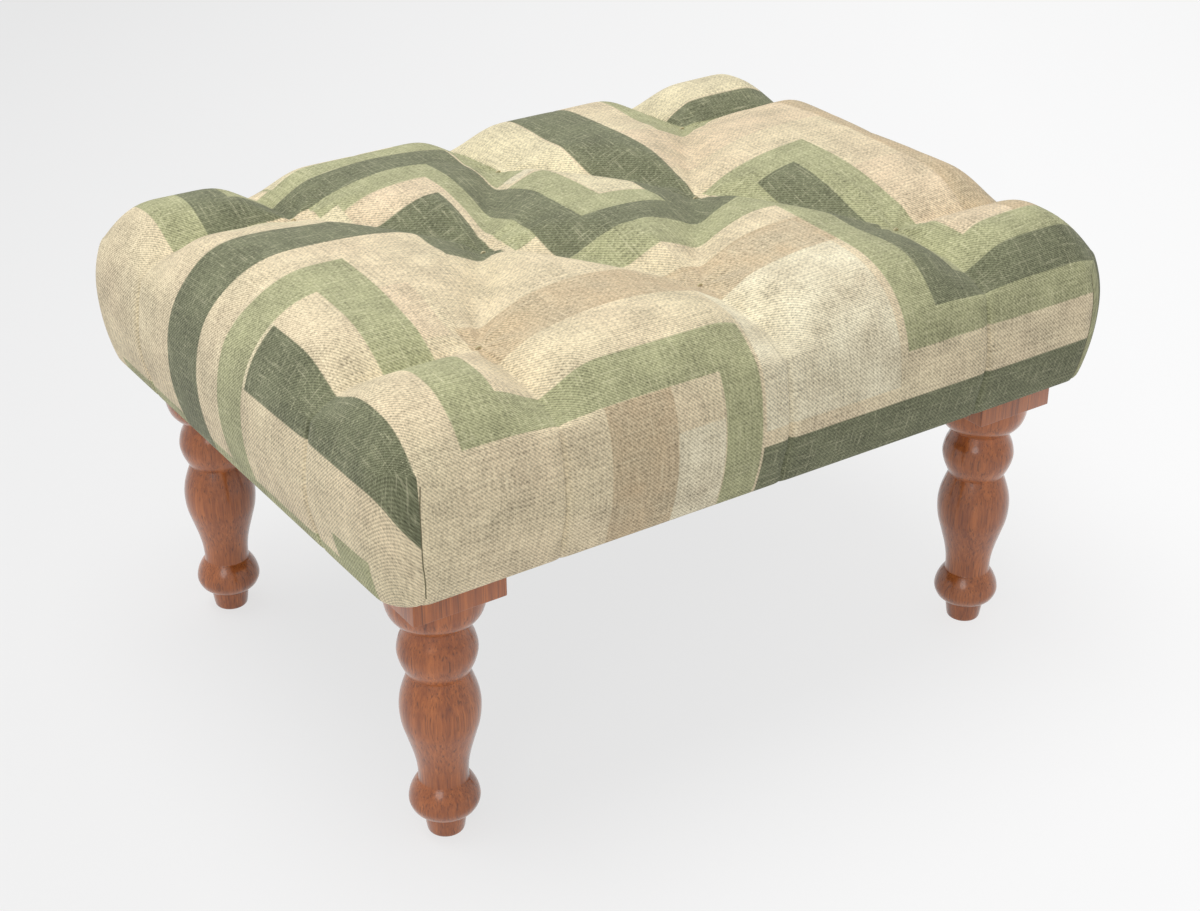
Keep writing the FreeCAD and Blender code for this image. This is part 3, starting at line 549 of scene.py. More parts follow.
@dataclass
class CushionForm:
    """The cushion's shape, in millimetres, and the flat cloth that it is cut from.

    Places are arrays of two rows: across along the length, and along the width.
    """

    half_length: float = 305.0
    half_width: float = 235.0
    shoulder: float = 321.0
    shoulder_width: float = 44.0
    crown: float = 362.0
    crown_fall: float = 10.0
    corner_radius: float = 30.0
    bulge: float = 7.0
    tuck: float = 4.0
    full_level: float = 285.0
    bottom: float = 222.6
    hem_level: float = 227.2
    hem: float = 24.0
    hem_rise: float = 10.0
    under_radius: float = 6.0
    seam_x: float = 283.0
    tuft_x: float = 180.0
    tuft_y: float = 135.0
    middle_tuft_x: float = 95.0
    tuft_level: float = 338.0
    tuft_spread: float = 36.0
    fold_depth: float = 18.5
    fold_spread: float = 24.0
    fold_crease: float = 1.2
    pleat_crease: float = 3.6
    crease_spread: float = 3.5

    def __post_init__(self) -> None:
        """Works out the arcs, the tufts, the folds and the lengths along the profile."""
        reach = self.bulge + self.tuck
        self.low_radius = (reach ** 2 + (self.full_level - self.bottom) ** 2) / (2 * reach)
        fall = self.shoulder - self.full_level
        self.high_radius = (self.bulge ** 2 + fall ** 2) / (2 * self.bulge)
        columns = (-self.tuft_x, 0.0, self.tuft_x)
        tufts = [(column, row) for row in (-self.tuft_y, self.tuft_y) for column in columns]
        tufts += [(-self.middle_tuft_x, 0.0), (self.middle_tuft_x, 0.0)]
        self.tufts = np.array(tufts)[:, :, None]
        self.folds: List[Line] = []
        self.pleats: List[Line] = []
        for depth in (-1, 1):
            row, edge = self.tuft_y * depth, self.half_width * depth
            self.pleats.append(((0.0, row), (0.0, edge)))
            for side in (-1, 1):
                column, middle = self.tuft_x * side, (self.middle_tuft_x * side, 0.0)
                self.folds += [((column, row), middle), ((0.0, row), middle)]
                self.pleats += [((column, row), (column, edge)),
                                ((column, row), (self.half_length * side, row))]
        self.inward_table = np.linspace(0.0, self.shoulder_width, 801)
        share = 1 - self.inward_table / self.shoulder_width
        level = self.shoulder + (self.crown - self.shoulder) * (1 - share ** 2)
        self.arc_table = self.run_along(self.inward_table, level)
        self.shoulder_arc = float(self.arc_table[-1])
        self.halves = np.array([[self.half_length], [self.half_width]])
        self.flat_halves = self.halves - self.shoulder_width + self.shoulder_arc
        self.level_table = np.linspace(self.shoulder, self.bottom + self.under_radius, 401)
        self.drop_table = self.run_along(self.level_table, self.reach(self.level_table))
        self.side_arc = float(self.drop_table[-1])

    @staticmethod
    def run_along(across: Array, up: Array) -> Array:
        """The length along a curve from its start to each of its points."""
        return np.concatenate([[0.0], np.cumsum(np.hypot(np.diff(across), np.diff(up)))])

    def reach(self, level: Array) -> Array:
        """How far the side stands out at a level."""
        radius = np.where(level < self.full_level, self.low_radius, self.high_radius)
        return self.bulge - radius + np.sqrt(radius ** 2 - (level - self.full_level) ** 2)

    def seam_at(self, level: Array) -> Array:
        """How far across the corner seams stand at a level, as the side swells."""
        lean = 1 - (self.half_length - self.seam_x) / self.corner_radius
        return self.seam_x + self.reach(level) * lean

    def plan(self, flat: Array) -> Array:
        """Finds where the flat cloth comes to lie over the shoulder.

        Args:
            flat: Places on the flat cloth.

        Returns:
            The same places in plan.
        """
        left = np.clip(self.flat_halves - np.abs(flat), 0.0, self.shoulder_arc)
        inward = np.interp(left, self.arc_table, self.inward_table)
        straight = np.abs(flat) <= self.halves - self.shoulder_width
        return np.sign(flat) * np.where(straight, np.abs(flat), self.halves - inward)

    @staticmethod
    def rounded(places: Array, halves: Array, radius: float) -> Array:
        """Draws the corners of a rectangle in to a round.

        Args:
            places: Places inside the rectangle.
            halves: Half of its length and width.
            radius: The round's radius.

        Returns:
            The new places.
        """
        past = np.clip(np.abs(places) - (halves - radius), 0.0, None)
        near = np.minimum(np.abs(places), halves - radius)
        return np.sign(places) * (near + past * np.sqrt(1 - past[::-1] ** 2 / (2 * radius ** 2)))

    @staticmethod
    def off_line(places: Array, line: Line) -> Array:
        """Measures how far places are from a fold or pleat.

        Args:
            places: The places.
            line: The two ends of the fold.

        Returns:
            The distances.
        """
        start, end = np.array(line)[:, :, None]
        way = end - start
        share = np.clip(((places - start) * way).sum(axis=0) / (way ** 2).sum(), 0, 1)
        return np.hypot(*(places - start - share * way))

    def top(self, places: Array) -> Array:
        """Shapes the top, with its tufts, folds and pleats.

        Args:
            places: Places in plan.

        Returns:
            The levels.
        """
        edge = 1 - np.clip((self.halves - np.abs(places)) / self.shoulder_width, 0, 1)
        rise = 1 - np.clip((edge ** 3).sum(axis=0), 0, 1) ** (2 / 3)
        crown = self.crown - self.crown_fall * (places[1] / self.half_width) ** 2
        plain = self.shoulder + (crown - self.shoulder) * rise
        dip = np.zeros_like(plain)
        for lines, crease in ((self.folds, self.fold_crease), (self.pleats, self.pleat_crease)):
            for line in lines:
                away = self.off_line(places, line)
                soft = self.fold_depth * np.exp(-(away / self.fold_spread) ** 2)
                sharp = crease * np.exp(-away / self.crease_spread)
                dip = np.maximum(dip, (soft + sharp) * rise)
        for tuft in self.tufts:
            away = np.hypot(*(places - tuft)) / self.tuft_spread
            dip = np.maximum(dip, (plain - self.tuft_level) * (1 + away ** 2) ** -1.5)
        return plain - dip


# How the cloth's solver takes the cover: its weight in kg, its stiffness and the padding's push.
CLOTH_SETTINGS: Dict[str, Any] = {
    "pin_stiffness": 1.0, "quality": 6, "mass": 0.25, "tension_stiffness": 12,
    "compression_stiffness": 6, "shear_stiffness": 5, "bending_stiffness": 0.12,
    "use_pressure": True, "uniform_pressure_force": 3.0,
}


@dataclass
class Cushion:
    """The tufted cover over its padding, with its creases and gathers in millimetres."""

    form: CushionForm = field(default_factory=CushionForm)
    cell: float = 6.2
    crowding: float = 0.55
    side_rows: int = 16
    round_rows: int = 2
    hem_rows: int = 3
    cap: float = 7.0
    frames: int = 20
    flap_overlap: float = 3.0
    side_depth: float = 12.0
    pleat_press: float = 3.2
    pleat_width: float = 2.0
    seam_press: float = 1.0
    seam_width: float = 1.6
    gather: float = 1.1
    gather_count: int = 7
    gather_turn: float = 1.7
    gather_radius: float = 15.0
    gather_width: float = 9.0
    edge_fade: float = 16.0
    hem_fade: float = 14.0
    seam_fade: float = 10.0
    # How the cloth is held while it settles: the most, how far it reaches and over what it fades.
    hem_hold: Point = (1.0, 16.0, 10.0)
    tuft_hold: Point = (1.0, 9.0, 4.0)
    pleat_hold: Point = (0.8, 5.0, 3.0)
    fold_hold: Point = (0.35, 6.0, 4.0)

    def spaced_lines(self, half: float, crowded: Sequence[float]) -> Array:
        """Distances across the flat cloth, closer together beside the pleats and seams.

        Args:
            half: Half of the flat width.
            crowded: Places where the lines stand closer.

        Returns:
            The distances, one of them on every crowded place.
        """
        anchors = sorted({-half, half, *crowded})
        lines: List[float] = []
        for low, high in zip(anchors, anchors[1:]):
            length = high - low
            share = np.linspace(0, 1, max(4, int(round(length / self.cell)) + 3) + 1)
            eased = share - self.crowding * np.sin(2 * math.pi * share) / (2 * math.pi)
            lines.extend((low + eased * length)[:-1])
        return np.array(lines + [half])

    def build_lattice(self, columns: int, rows: int) -> Piece:
        """A flat lattice with a skirt of extruded rows that the cover is shaped from.

        Args:
            columns: Cells along X.
            rows: Cells along Y.

        Returns:
            The mesh, with each vertex's column, row and skirt row as its coordinates.
        """
        clear_selection()
        bpy.ops.mesh.primitive_grid_add(x_subdivisions=columns, y_subdivisions=rows, size=1.0)
        piece = bpy.context.active_object
        piece.scale = (columns, rows, 1.0)
        piece.location = (columns / 2, rows / 2, 0.0)
        settle(piece)
        open_mesh()
        bpy.ops.mesh.select_mode(type="EDGE")
        bpy.ops.mesh.region_to_loop()
        for _ in range(self.side_rows + self.round_rows + self.hem_rows):
            bpy.ops.mesh.extrude_edges_move(TRANSFORM_OT_translate={"value": (0.0, 0.0, -1.0)})
        close_mesh()
        return piece

    def skirt(self, places: Array, row: Array) -> Tuple[Array, Array]:
        """Places the skirt: down the side, round the lower edge and in under the frame.

        Args:
            places: Places in plan on the shoulder line.
            row: The skirt row of each, from 1.

        Returns:
            The points, and how far down the cloth each lies.
        """
        form = self.form
        down = np.clip(row / self.side_rows, 0, 1) * form.side_arc
        level = np.interp(down, form.drop_table, form.level_table)
        turn = np.clip((row - self.side_rows) / self.round_rows, 0, 1) * (math.pi / 2)
        under = np.clip((row - self.side_rows - self.round_rows) / self.hem_rows, 0, 1) * form.hem
        out = form.reach(level) - form.under_radius * (1 - np.cos(turn)) - under
        level = np.where(row > self.side_rows, form.bottom + form.under_radius * (1 - np.sin(turn)), level)
        level = level + (form.hem_level - form.bottom) * np.clip(under / form.hem_rise, 0, 1)
        away = np.clip(np.abs(places) - (form.halves - form.corner_radius), 0, None) * np.sign(places)
        length = np.maximum(np.hypot(*away), 1e-6)
        points = np.vstack([places + out * away / length, level]).T
        return points, down + form.under_radius * turn + under

    def map_cloth(self, piece: Piece, flat: Array, down: Array, places: Array, row: Array) -> None:
        """Lays the flat cloth's places on the mesh as its own map, with a flap for each side.

        Args:
            piece: The cover, whose faces have four corners each.
            flat: Each vertex's place on the flat cloth at the shoulder or on the top.
            down: How far below the shoulder each vertex lies along the cloth.
            places: The plan place of each vertex's shoulder point.
            row: The skirt row of each vertex.
        """
        form = self.form
        corners = np.array([tuple(face.vertices) for face in piece.data.polygons])
        x, y = places[:, corners].mean(axis=2)
        inner = form.half_width - form.corner_radius - self.flap_overlap
        lengthwise = (np.abs(x) < form.seam_x) & (np.abs(y) > inner)
        way = np.array([np.where(lengthwise, 0, np.sign(x)), np.where(lengthwise, np.sign(y), 0)])
        way = way * (row[corners].max(axis=1) > 0)
        values = flat[:, corners] + down[corners] * way[:, :, None]
        layer = piece.data.uv_layers.new(name=CLOTH_MAP)
        layer.data.foreach_set("uv", (values.transpose(1, 2, 0) * MM).ravel())

    def shape(self) -> Piece:
        """Builds the cover in its resting form, with its flat cloth mapped.

        Returns:
            The cover.
        """
        form = self.form
        length, width = form.flat_halves[:, 0]
        seam, corner = np.interp(
            (form.half_length - form.seam_x, form.corner_radius), form.inward_table, form.arc_table)
        crowded = np.array([length - seam, form.tuft_x, form.middle_tuft_x, 0.0])
        columns = self.spaced_lines(length, [*crowded, *-crowded[:-1]])
        rows = self.spaced_lines(width, (-form.tuft_y, 0, form.tuft_y))
        piece = self.build_lattice(len(columns) - 1, len(rows) - 1)
        across, along, row = np.rint(read_vectors(piece.data, "co")).astype(int).T
        flat = np.stack([columns[across], rows[along]])
        places = form.rounded(form.plan(flat), form.halves, form.corner_radius)
        points, down = self.skirt(places, -row)
        on_top = row >= 0
        points[on_top] = np.vstack([places, form.top(places)]).T[on_top]
        down[on_top] = 0.0
        set_points(piece, points * MM)
        self.map_cloth(piece, form.rounded(flat, form.flat_halves, corner), down, places, -row)
        return piece

    def pins(self, points: Array) -> Array:
        """Works out how firmly the cloth is held while it settles.

        Args:
            points: Places on the cover.

        Returns:
            The hold at each place, from 0 to 1.
        """
        form = self.form
        places = points.T[:2]
        holds = [(points[:, 2] - form.bottom, self.hem_hold)]
        holds += [(np.hypot(*(places - tuft)), self.tuft_hold) for tuft in form.tufts]
        for lines, hold in ((form.pleats, self.pleat_hold), (form.folds, self.fold_hold)):
            holds += [(form.off_line(places, line), hold) for line in lines]
        return np.max([most * np.clip((reach - away) / fade, 0, 1)
                       for away, (most, reach, fade) in holds], axis=0)

    def simulate(self, piece: Piece) -> None:
        """Lets the cloth fill out under pressure, held at the tufts, pleats and hem.

        Args:
            piece: The cover, whose points move by no more than the cap.
        """
        start = read_vectors(piece.data, "co")
        hold = self.pins(start / MM)
        group = piece.vertex_groups.new(name="held")
        for level in np.unique(np.round(hold, 1)):
            if level > 0:
                chosen = np.flatnonzero(np.abs(hold - level) < 0.051).tolist()
                group.add(chosen, float(level), "REPLACE")
        cloth = piece.modifiers.new("settling", "CLOTH")
        settings = cloth.settings
        settings.vertex_group_mass = group.name
        for name, value in CLOTH_SETTINGS.items():
            setattr(settings, name, value)
        settings.effector_weights.gravity = 0.0
        cloth.collision_settings.use_collision = False
        cloth.collision_settings.use_self_collision = False
        cloth.point_cache.frame_start = 1
        cloth.point_cache.frame_end = self.frames
        scene = bpy.context.scene
        for number in range(1, self.frames + 1):
            scene.frame_set(number)
        graph = bpy.context.evaluated_depsgraph_get()
        move = read_vectors(piece.evaluated_get(graph).data, "co") - start
        length = np.maximum(np.linalg.norm(move, axis=1), 1e-9)
        cap = self.cap * MM
        move *= (cap * np.tanh(length / cap) / length)[:, None]
        piece.modifiers.remove(cloth)
        piece.vertex_groups.remove(group)
        scene.frame_set(1)
        set_points(piece, start + move)

    @staticmethod
    def close_underside(piece: Piece) -> None:
        """Closes the cover above the dust cover, inside its turned-under hem.

        Args:
            piece: The cover.
        """
        take(piece)
        open_mesh()
        bpy.ops.mesh.select_mode(type="EDGE")
        bpy.ops.mesh.select_all(action="DESELECT")
        bpy.ops.mesh.select_non_manifold()
        bpy.ops.mesh.edge_face_add()
        close_mesh()

    def press_creases(self, piece: Piece) -> None:
        """Presses the sewn seams, the pleats and the gathers into the finished surface.

        Args:
            piece: The cover.
        """
        form = self.form
        points = read_vectors(piece.data, "co")
        normals = read_vectors(piece.data, "normal")
        x, y, z = (points / MM).T
        depth = np.zeros(len(points))
        on_side = np.clip((form.shoulder - z) / self.edge_fade + 0.5, 0, 1)
        for along, out, half, places in ((x, y, form.half_width, (-form.tuft_x, 0.0, form.tuft_x)),
                                         (y, x, form.half_length, (-form.tuft_y, form.tuft_y))):
            pressed = (np.abs(out) > half - self.side_depth) * on_side * self.pleat_press
            for place in places:
                depth = np.maximum(depth, pressed * np.exp(-np.abs(along - place) / self.pleat_width))
        depth = depth * np.clip((z - form.bottom - 1) / self.hem_fade, 0.3, 1)
        off_seam = np.abs(np.abs(x) - form.seam_at(z))
        seam = (np.abs(y) > form.half_width - self.side_depth - 2) * np.exp(-off_seam / self.seam_width)
        seam = seam * np.clip((form.shoulder - 2 - z) / self.seam_fade, 0, 1)
        depth = np.maximum(depth, self.seam_press * seam)
        for number, tuft in enumerate(form.tufts):
            across, along = np.stack([x, y]) - tuft
            turn = self.gather_count * np.arctan2(along, across) + self.gather_turn * number
            ray = np.cos(turn) * (z > form.shoulder)
            ring = np.exp(-((np.hypot(across, along) - self.gather_radius) / self.gather_width) ** 2)
            depth = depth + self.gather * ray * ring
        set_points(piece, points - normals * (depth * MM)[:, None])

    def build(self, material: Material) -> Piece:
        """Makes the finished cover.

        Args:
            material: The printed cloth.

        Returns:
            The cover.
        """
        piece = self.shape()
        self.simulate(piece)
        apply_modifier(piece, "SUBSURF", levels=1, render_levels=1)
        self.press_creases(piece)
        self.close_underside(piece)
        take(piece)
        bpy.ops.object.shade_smooth()
        dress(piece, "cover_cushion", material)
        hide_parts("cover", "wadding_layer", "foam_core")
        log.info("cover_cushion: %d faces", len(piece.data.polygons))
        return piece


# Legs


@dataclass
class TurnedLegs:
    """The four turned legs, each with its square block on top."""

    across: float = 0.244
    along: float = 0.177
    block_half: float = 0.035
    block_low: float = 0.197
    block_high: float = 0.2284
    arris: float = 0.001
    facets: int = 64
    steps: int = 5
    smooth_angle: float = 38.0
    # Level and radius in millimetres, one row for each turned member from the foot up.
    members: Tuple[Tuple[Tuple[float, float], ...], ...] = (
        ((0.0, 11.6), (0.6, 12.6), (2.2, 13.3), (8.0, 14.2), (15.6, 15.2)),
        ((15.6, 15.2), (18.0, 19.0), (21.5, 22.8), (27.5, 25.1), (34.0, 24.2), (40.0, 21.6), (44.5, 18.6)),
        ((44.5, 18.6), (46.0, 17.7), (52.0, 17.7), (60.0, 18.5), (70.0, 20.6), (82.0, 24.0), (94.0, 27.2),
         (106.0, 28.2), (116.0, 27.0), (125.0, 24.3), (133.0, 21.2)),
        ((133.0, 21.2), (138.0, 23.8), (144.5, 26.4), (152.0, 27.7), (160.0, 26.2), (166.0, 23.7),
         (172.0, 21.4)),
        ((172.0, 21.4), (174.5, 25.0), (178.0, 29.0), (183.0, 32.4), (190.0, 34.4), (198.0, 34.9)),
    )

    def outline(self) -> List[Tuple[float, float]]:
        """Draws a smooth line through each member's points.

        Returns:
            Level and radius of each ring in metres, from the foot up.
        """
        rings = [self.members[0][0]]
        for member in self.members:
            points = np.array([member[0], *member, member[-1]])
            for before, start, end, after in zip(points, points[1:], points[2:], points[3:]):
                for share in np.linspace(0, 1, self.steps + 1)[1:]:
                    square, cube = share ** 2, share ** 3
                    ahead = (cube - 2 * square + share) * (end - before)
                    back = (cube - square) * (after - start)
                    blend = 3 * square - 2 * cube
                    spot = (1 - blend) * start + blend * end + (ahead + back) / 2
                    rings.append((float(spot[0]), float(spot[1])))
        return [(level * MM, radius * MM) for level, radius in rings]

    def turn(self) -> Piece:
        """Turns one leg on the middle axis, by extruding and widening its foot ring by ring.

        Returns:
            The leg without its block.
        """
        rings = self.outline()
        piece = start_disc(self.facets, rings[0][1])
        for (low, narrow), (high, wide) in zip(rings, rings[1:]):
            bpy.ops.mesh.extrude_region_move(TRANSFORM_OT_translate={"value": (0.0, 0.0, high - low)})
            bpy.ops.transform.resize(
                value=(wide / narrow, wide / narrow, 1.0), center_override=(0.0, 0.0, high))
        close_mesh()
        return piece

    def saw_block(self) -> Piece:
        """Makes the square block with its arrises eased.

        Returns:
            The block.
        """
        clear_selection()
        middle = (self.block_low + self.block_high) / 2
        bpy.ops.mesh.primitive_cube_add(size=1.0, location=(0.0, 0.0, middle))
        block = bpy.context.active_object
        block.scale = (2 * self.block_half, 2 * self.block_half, self.block_high - self.block_low)
        settle(block)
        open_mesh()
        bpy.ops.mesh.bevel(offset=self.arris, segments=3, affect="EDGES")
        close_mesh()
        return block

    def build(self, material: Material) -> None:
        """Makes the legs, one model copied to the four corners.

        Args:
            material: The stained and lacquered wood.
        """
        turned = join([self.turn(), self.saw_block()])
        bpy.ops.object.shade_smooth_by_angle(angle=math.radians(self.smooth_angle))
        middle = read_vectors(turned.data, "co")
        corners = [(side, depth, f"leg_{row}_{end}") for depth, row in ((-1, "front"), (1, "back"))
                   for side, end in ((-1, "left"), (1, "right"))]
        for number, (side, depth, name) in enumerate(corners):
            leg = turned
            if number:
                leg = bpy.data.objects.new(name, turned.data.copy())
                bpy.context.scene.collection.objects.link(leg)
            set_points(leg, middle + np.array([side * self.across, depth * self.along, 0.0]))
            dress(leg, f"turned_{name}", material)
            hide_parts(name)
        log.info("turned_leg: %d, each with %d faces", len(corners), len(turned.data.polygons))


# Corner seams


@dataclass
class CornerSeams:
    """The four sewn darts that close the cover at its corners."""

    form: CushionForm
    outside: float = 0.239
    low: float = 0.229
    high: float = 0.314
    steps: int = 16
    sides: int = 8
    radius: float = 0.45 * MM
    sunk: float = 0.15 * MM
    smooth_angle: float = 1.0

    def route(self, cushion: Piece, side: int, depth: int) -> List[Vector]:
        """Finds a seam's way up the finished cover.

        Args:
            cushion: The cover that the seam lies on.
            side: -1 for the left end, 1 for the right one.
            depth: -1 for the front, 1 for the back.

        Returns:
            Its points from the hem up.
        """
        points = []
        for level in np.linspace(self.low, self.high, self.steps):
            across = float(self.form.seam_at(np.array(level / MM))) * MM
            start = Vector((side * across, depth * self.outside, float(level)))
            _, spot, normal, _ = cushion.closest_point_on_mesh(start)
            points.append(spot - normal * self.sunk)
        return points

    def sew(self, points: Sequence[Vector]) -> Piece:
        """Draws one thread along its points, by extruding its round end upwards.

        Args:
            points: The thread's way.

        Returns:
            The thread.
        """
        piece = start_disc(self.sides, self.radius, points[0])
        for here, following in zip(points, points[1:]):
            bpy.ops.mesh.extrude_region_move(TRANSFORM_OT_translate={"value": tuple(following - here)})
        close_mesh()
        bpy.ops.object.shade_smooth_by_angle(angle=self.smooth_angle)
        return piece

    def build(self, cushion: Piece, material: Material) -> None:
        """Makes the four seams as one piece.

        Args:
            cushion: The cover that they lie on.
            material: The thread.
        """
        seams = join([self.sew(self.route(cushion, side, depth)) for depth in (-1, 1) for side in (-1, 1)])
        dress(seams, "corner_seams", material)
        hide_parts("corner_seam_threads")
        log.info("corner_seams: 4")


# Dust cover


@dataclass
class DustCover:
    """The black cloth stapled under the frame, cut out round the leg blocks."""

    half_length: float = 0.289
    half_width: float = 0.219
    notch_x: float = 0.208
    notch_y: float = 0.141
    level: float = 0.2259
    sag: float = 0.0006
    ripple_x: float = 61.0
    ripple_y: float = 47.0
    thickness: float = 0.0004

    def cut_notches(self) -> None:
        """Cuts the corners away from the flat sheet, which is open in edit mode."""
        for place, normal in ((self.notch_x, (1, 0, 0)), (self.notch_y, (0, 1, 0))):
            for side in (1, -1):
                bpy.ops.mesh.select_all(action="SELECT")
                bpy.ops.mesh.bisect(plane_co=side * place * Vector(normal), plane_no=normal)
        bpy.ops.object.mode_set(mode="OBJECT")
        mesh = bpy.context.active_object.data
        for corner in (*mesh.edges, *mesh.vertices):
            corner.select = False
        for face in mesh.polygons:
            face.select = abs(face.center.x) > self.notch_x and abs(face.center.y) > self.notch_y
        bpy.ops.object.mode_set(mode="EDIT")
        bpy.ops.mesh.select_mode(type="FACE")
        bpy.ops.mesh.delete(type="FACE")

    def build(self, material: Material) -> None:
        """Makes the sheet, barely sagging between its staples.

        Args:
            material: The non-woven cloth.
        """
        clear_selection()
        bpy.ops.mesh.primitive_plane_add(size=2.0)
        piece = bpy.context.active_object
        piece.scale = (self.half_length, self.half_width, 1.0)
        settle(piece)
        open_mesh()
        self.cut_notches()
        bpy.ops.mesh.select_all(action="SELECT")
        bpy.ops.mesh.subdivide(number_cuts=12)
        bpy.ops.object.mode_set(mode="OBJECT")
        points = read_vectors(piece.data, "co")
        near = np.clip(1 - (points[:, 0] / self.half_length) ** 2, 0, 1)
        near = near * np.clip(1 - (points[:, 1] / self.half_width) ** 2, 0, 1)
        ripple = 0.5 + 0.5 * np.sin(points[:, 0] * self.ripple_x) * np.sin(points[:, 1] * self.ripple_y)
        points[:, 2] = self.level - self.sag * near * ripple
        set_points(piece, points)
        apply_modifier(piece, "SOLIDIFY", thickness=self.thickness, offset=0.0)
        dress(piece, "dust_cover_sheet", material)
        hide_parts("dust_cover")
        log.info("dust_cover_sheet: %d faces", len(piece.data.polygons))


# Setting


@dataclass
class Setting:
    """The floor, the light and the camera."""

    camera_place: Point = (-0.7889, -1.1890, 0.9159)
    camera_target: Point = (-0.0363, -0.0629, 0.1817)
    roll: float = -0.285
    lens: float = 61.52
    sensor: float = 36.0
    floor_size: float = 40.0
    floor_grey: Colour = (0.93, 0.93, 0.935)
    far_grey: Colour = (0.915, 0.915, 0.915)
    shown_floor: float = 0.78
    # How white the floor shows in the middle, and how that grows to the right and to the back: a painted
    # pool of light on the floor's shown colour.
    floor_fade: Point = (0.60, 0.60, -0.38)
    sky_grey: Colour = (0.925, 0.925, 0.925)
    sky_light: float = 0.5
    lamp_target: Point = (0.0, 0.0, 0.25)
    # Name, place, width in metres and watts of each lamp.
    lamps: Tuple[Tuple[str, Point, float, float], ...] = (
        ("top_lamp", (-0.5, 0.3, 3.2), 2.6, 66.0),
        ("front_lamp", (-2.6, -2.2, 1.9), 1.6, 16.0),
    )

    @staticmethod
    def aim(data: bpy.types.ID, place: Point, target: Point, roll: float = 0.0) -> Piece:
        """Adds a camera or a lamp that looks at a target.

        Args:
            data: The camera's or lamp's data, which gives the name.
            place: Where it stands.
            target: What it looks at.
            roll: Its lean about the line of sight, in degrees.

        Returns:
            The camera or the lamp.
        """
        thing = bpy.data.objects.new(data.name, data)
        bpy.context.scene.collection.objects.link(thing)
        turn = (Vector(target) - Vector(place)).to_track_quat("-Z", "Y")
        thing.location = place
        thing.rotation_mode = "QUATERNION"
        thing.rotation_quaternion = turn @ Quaternion((0.0, 0.0, 1.0), math.radians(roll))
        return thing

    def add_camera(self) -> None:
        """Puts the camera where the photograph was taken from."""
        data = bpy.data.cameras.new("view")
        data.lens = self.lens
        data.sensor_width = self.sensor
        data.sensor_fit = "HORIZONTAL"
        data.clip_start = 0.05
        data.clip_end = 100.0
        bpy.context.scene.camera = self.aim(data, self.camera_place, self.camera_target, self.roll)

    def add_floor(self) -> None:
        """Lays a plain pale floor, which shows paler than the lamps alone would make it."""
        clear_selection()
        bpy.ops.mesh.primitive_plane_add(size=self.floor_size)
        floor = bpy.context.active_object
        floor.name = "floor"
        settle(floor)
        board = new_board("floor_paint")
        across, along, _ = board.parts(board.object_place())
        middle, right, back = self.floor_fade
        # Painted light: the shown colour goes from grey at the back left to white at the front right.
        share = (middle + across * right + along * back).clamped()
        board.surface(Base_Color=linear(self.floor_grey), Roughness=0.9, Specular_IOR_Level=0.1)
        shown = board.add("ShaderNodeEmission", {}, {
            "Color": board.mix(share, linear(self.far_grey), WHITE), "Strength": 1.0})
        board.show(board.looked_at() * self.shown_floor, board.shader, shown, "Material Output")
        floor.data.materials.append(board.owner)

    def add_light(self) -> None:
        """Lights the stool softly from above and from the front left."""
        world = bpy.data.worlds.new("studio")
        bpy.context.scene.world = world
        board = Board(world)
        sky = board.tree.nodes["Background"]
        board.feed(sky.inputs["Color"], WHITE)
        board.feed(sky.inputs["Strength"], self.sky_light)
        shown = board.add("ShaderNodeBackground", {}, {"Color": linear(self.sky_grey), "Strength": 1.0})
        board.show(board.looked_at(), sky, shown, "World Output")
        for name, place, width, power in self.lamps:
            data = bpy.data.lights.new(name, "AREA")
            data.shape = "DISK"
            data.size = width
            data.energy = power
            self.aim(data, place, self.lamp_target)

    def build(self) -> None:
        """Sets everything up."""
        bpy.context.scene.view_settings.view_transform = "Standard"
        self.add_camera()
        self.add_floor()
        self.add_light()
        log.info("setting: camera, floor, %d lamps", len(self.lamps))


# Finishes of the CAD nodes, by the record's material slot

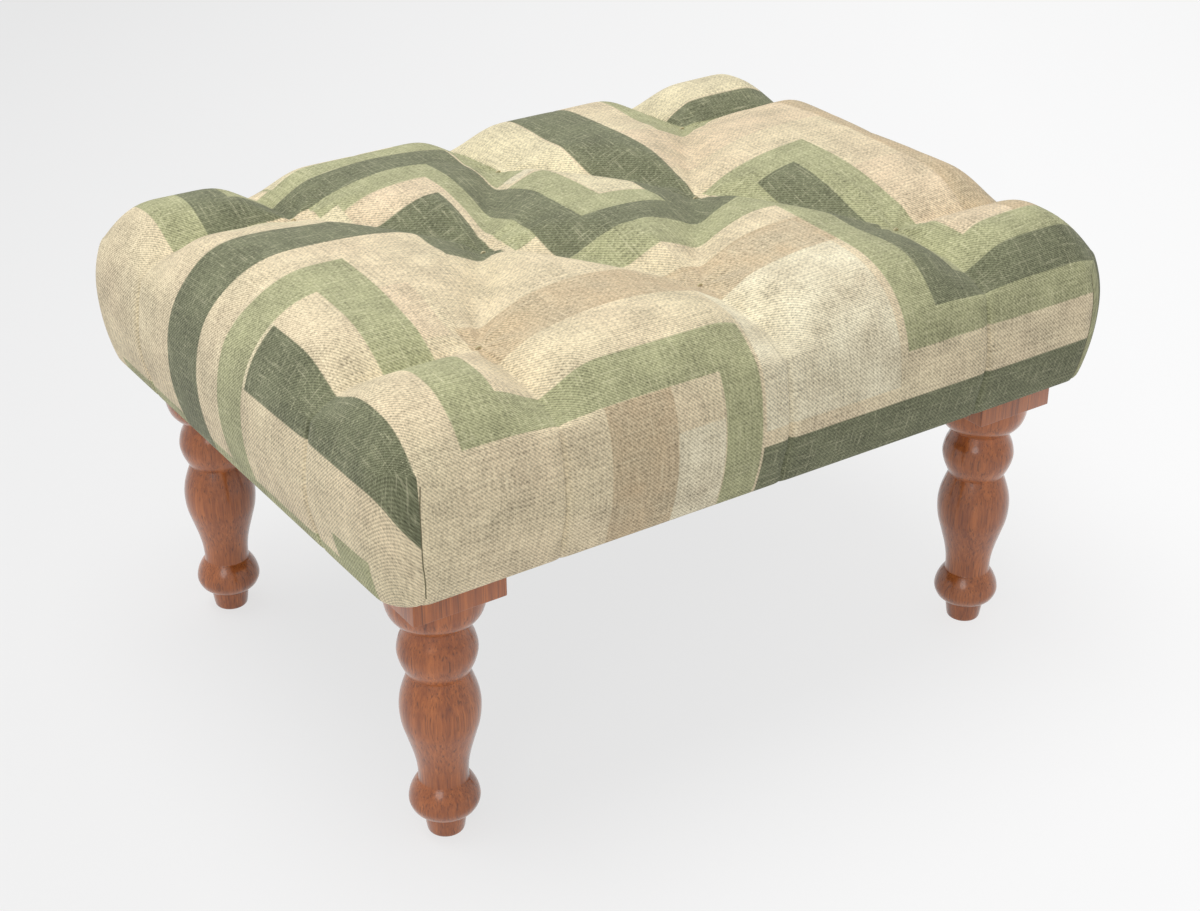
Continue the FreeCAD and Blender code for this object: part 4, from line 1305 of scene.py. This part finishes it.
FINISHES: Dict[str, Any] = {"cover_cloth": PrintedCloth(), **{finish.name: finish for finish in (
    WoodFinish("leg_wood", (0.51, 0.250, 0.105), (0.78, 0.455, 0.225), 0.6, 0.30, 0.65),
    WoodFinish("frame_wood", (0.70, 0.52, 0.33), (0.86, 0.70, 0.48), 0.2, 0.6, 0.0, 0),
    WoodFinish("dowel_wood", (0.68, 0.50, 0.34), (0.83, 0.67, 0.48), 0.3, 0.6, 0.0, 1),
    WoodFinish("plywood", (0.66, 0.50, 0.33), (0.80, 0.65, 0.46), 0.3, 0.65, 0.0, 0),
    PlainFinish("plated_steel", (0.72, 0.72, 0.74), 0.35, 1.0, 0.6 * MM),
    PlainFinish("staple_steel", (0.66, 0.66, 0.68), 0.4, 1.0, 0.4 * MM),
    PlainFinish("foam", (0.90, 0.86, 0.74), 0.95, 0.0, 1.5 * MM, 0.3, 0.5 * MM),
    PlainFinish("wadding", (0.92, 0.92, 0.90), 0.95, 0.0, 4.0 * MM, 0.2, 1.0 * MM),
    PlainFinish("twine", (0.78, 0.74, 0.60), 0.8, 0.0, 0.4 * MM, 0.5, 0.1 * MM),
    PlainFinish("washer_plastic", (0.82, 0.82, 0.80), 0.5, 0.0, 1.0 * MM),
    PlainFinish("thread", (0.44, 0.42, 0.32), 0.85, 0.0, 0.4 * MM, 0.5, 0.1 * MM),
    PlainFinish("dust_cloth", (0.13, 0.13, 0.13), 0.95, 0.0, 0.7 * MM, 0.6, 0.25 * MM),
)}}


def dress_nodes(materials: Dict[str, Material]) -> None:
    """Gives every CAD node the material of its slot.

    Args:
        materials: The materials by slot.
    """
    parts = frame["record"]["subparts"]
    for part in parts:
        node = frame["nodes"][part["node"]]
        node.data.materials.clear()
        node.data.materials.append(materials[part["material_slot"]])
    log.info("nodes: %d dressed", len(parts))


def main() -> None:
    """Builds the footstool's looks in order."""
    materials = {slot: finish.make() for slot, finish in FINISHES.items()}
    dress_nodes(materials)
    Setting().build()
    cushion = Cushion()
    cover = cushion.build(materials["cover_cloth"])
    CornerSeams(cushion.form).build(cover, materials["thread"])
    TurnedLegs().build(materials["leg_wood"])
    DustCover().build(materials["dust_cloth"])


if __name__ == "__main__":
    main()
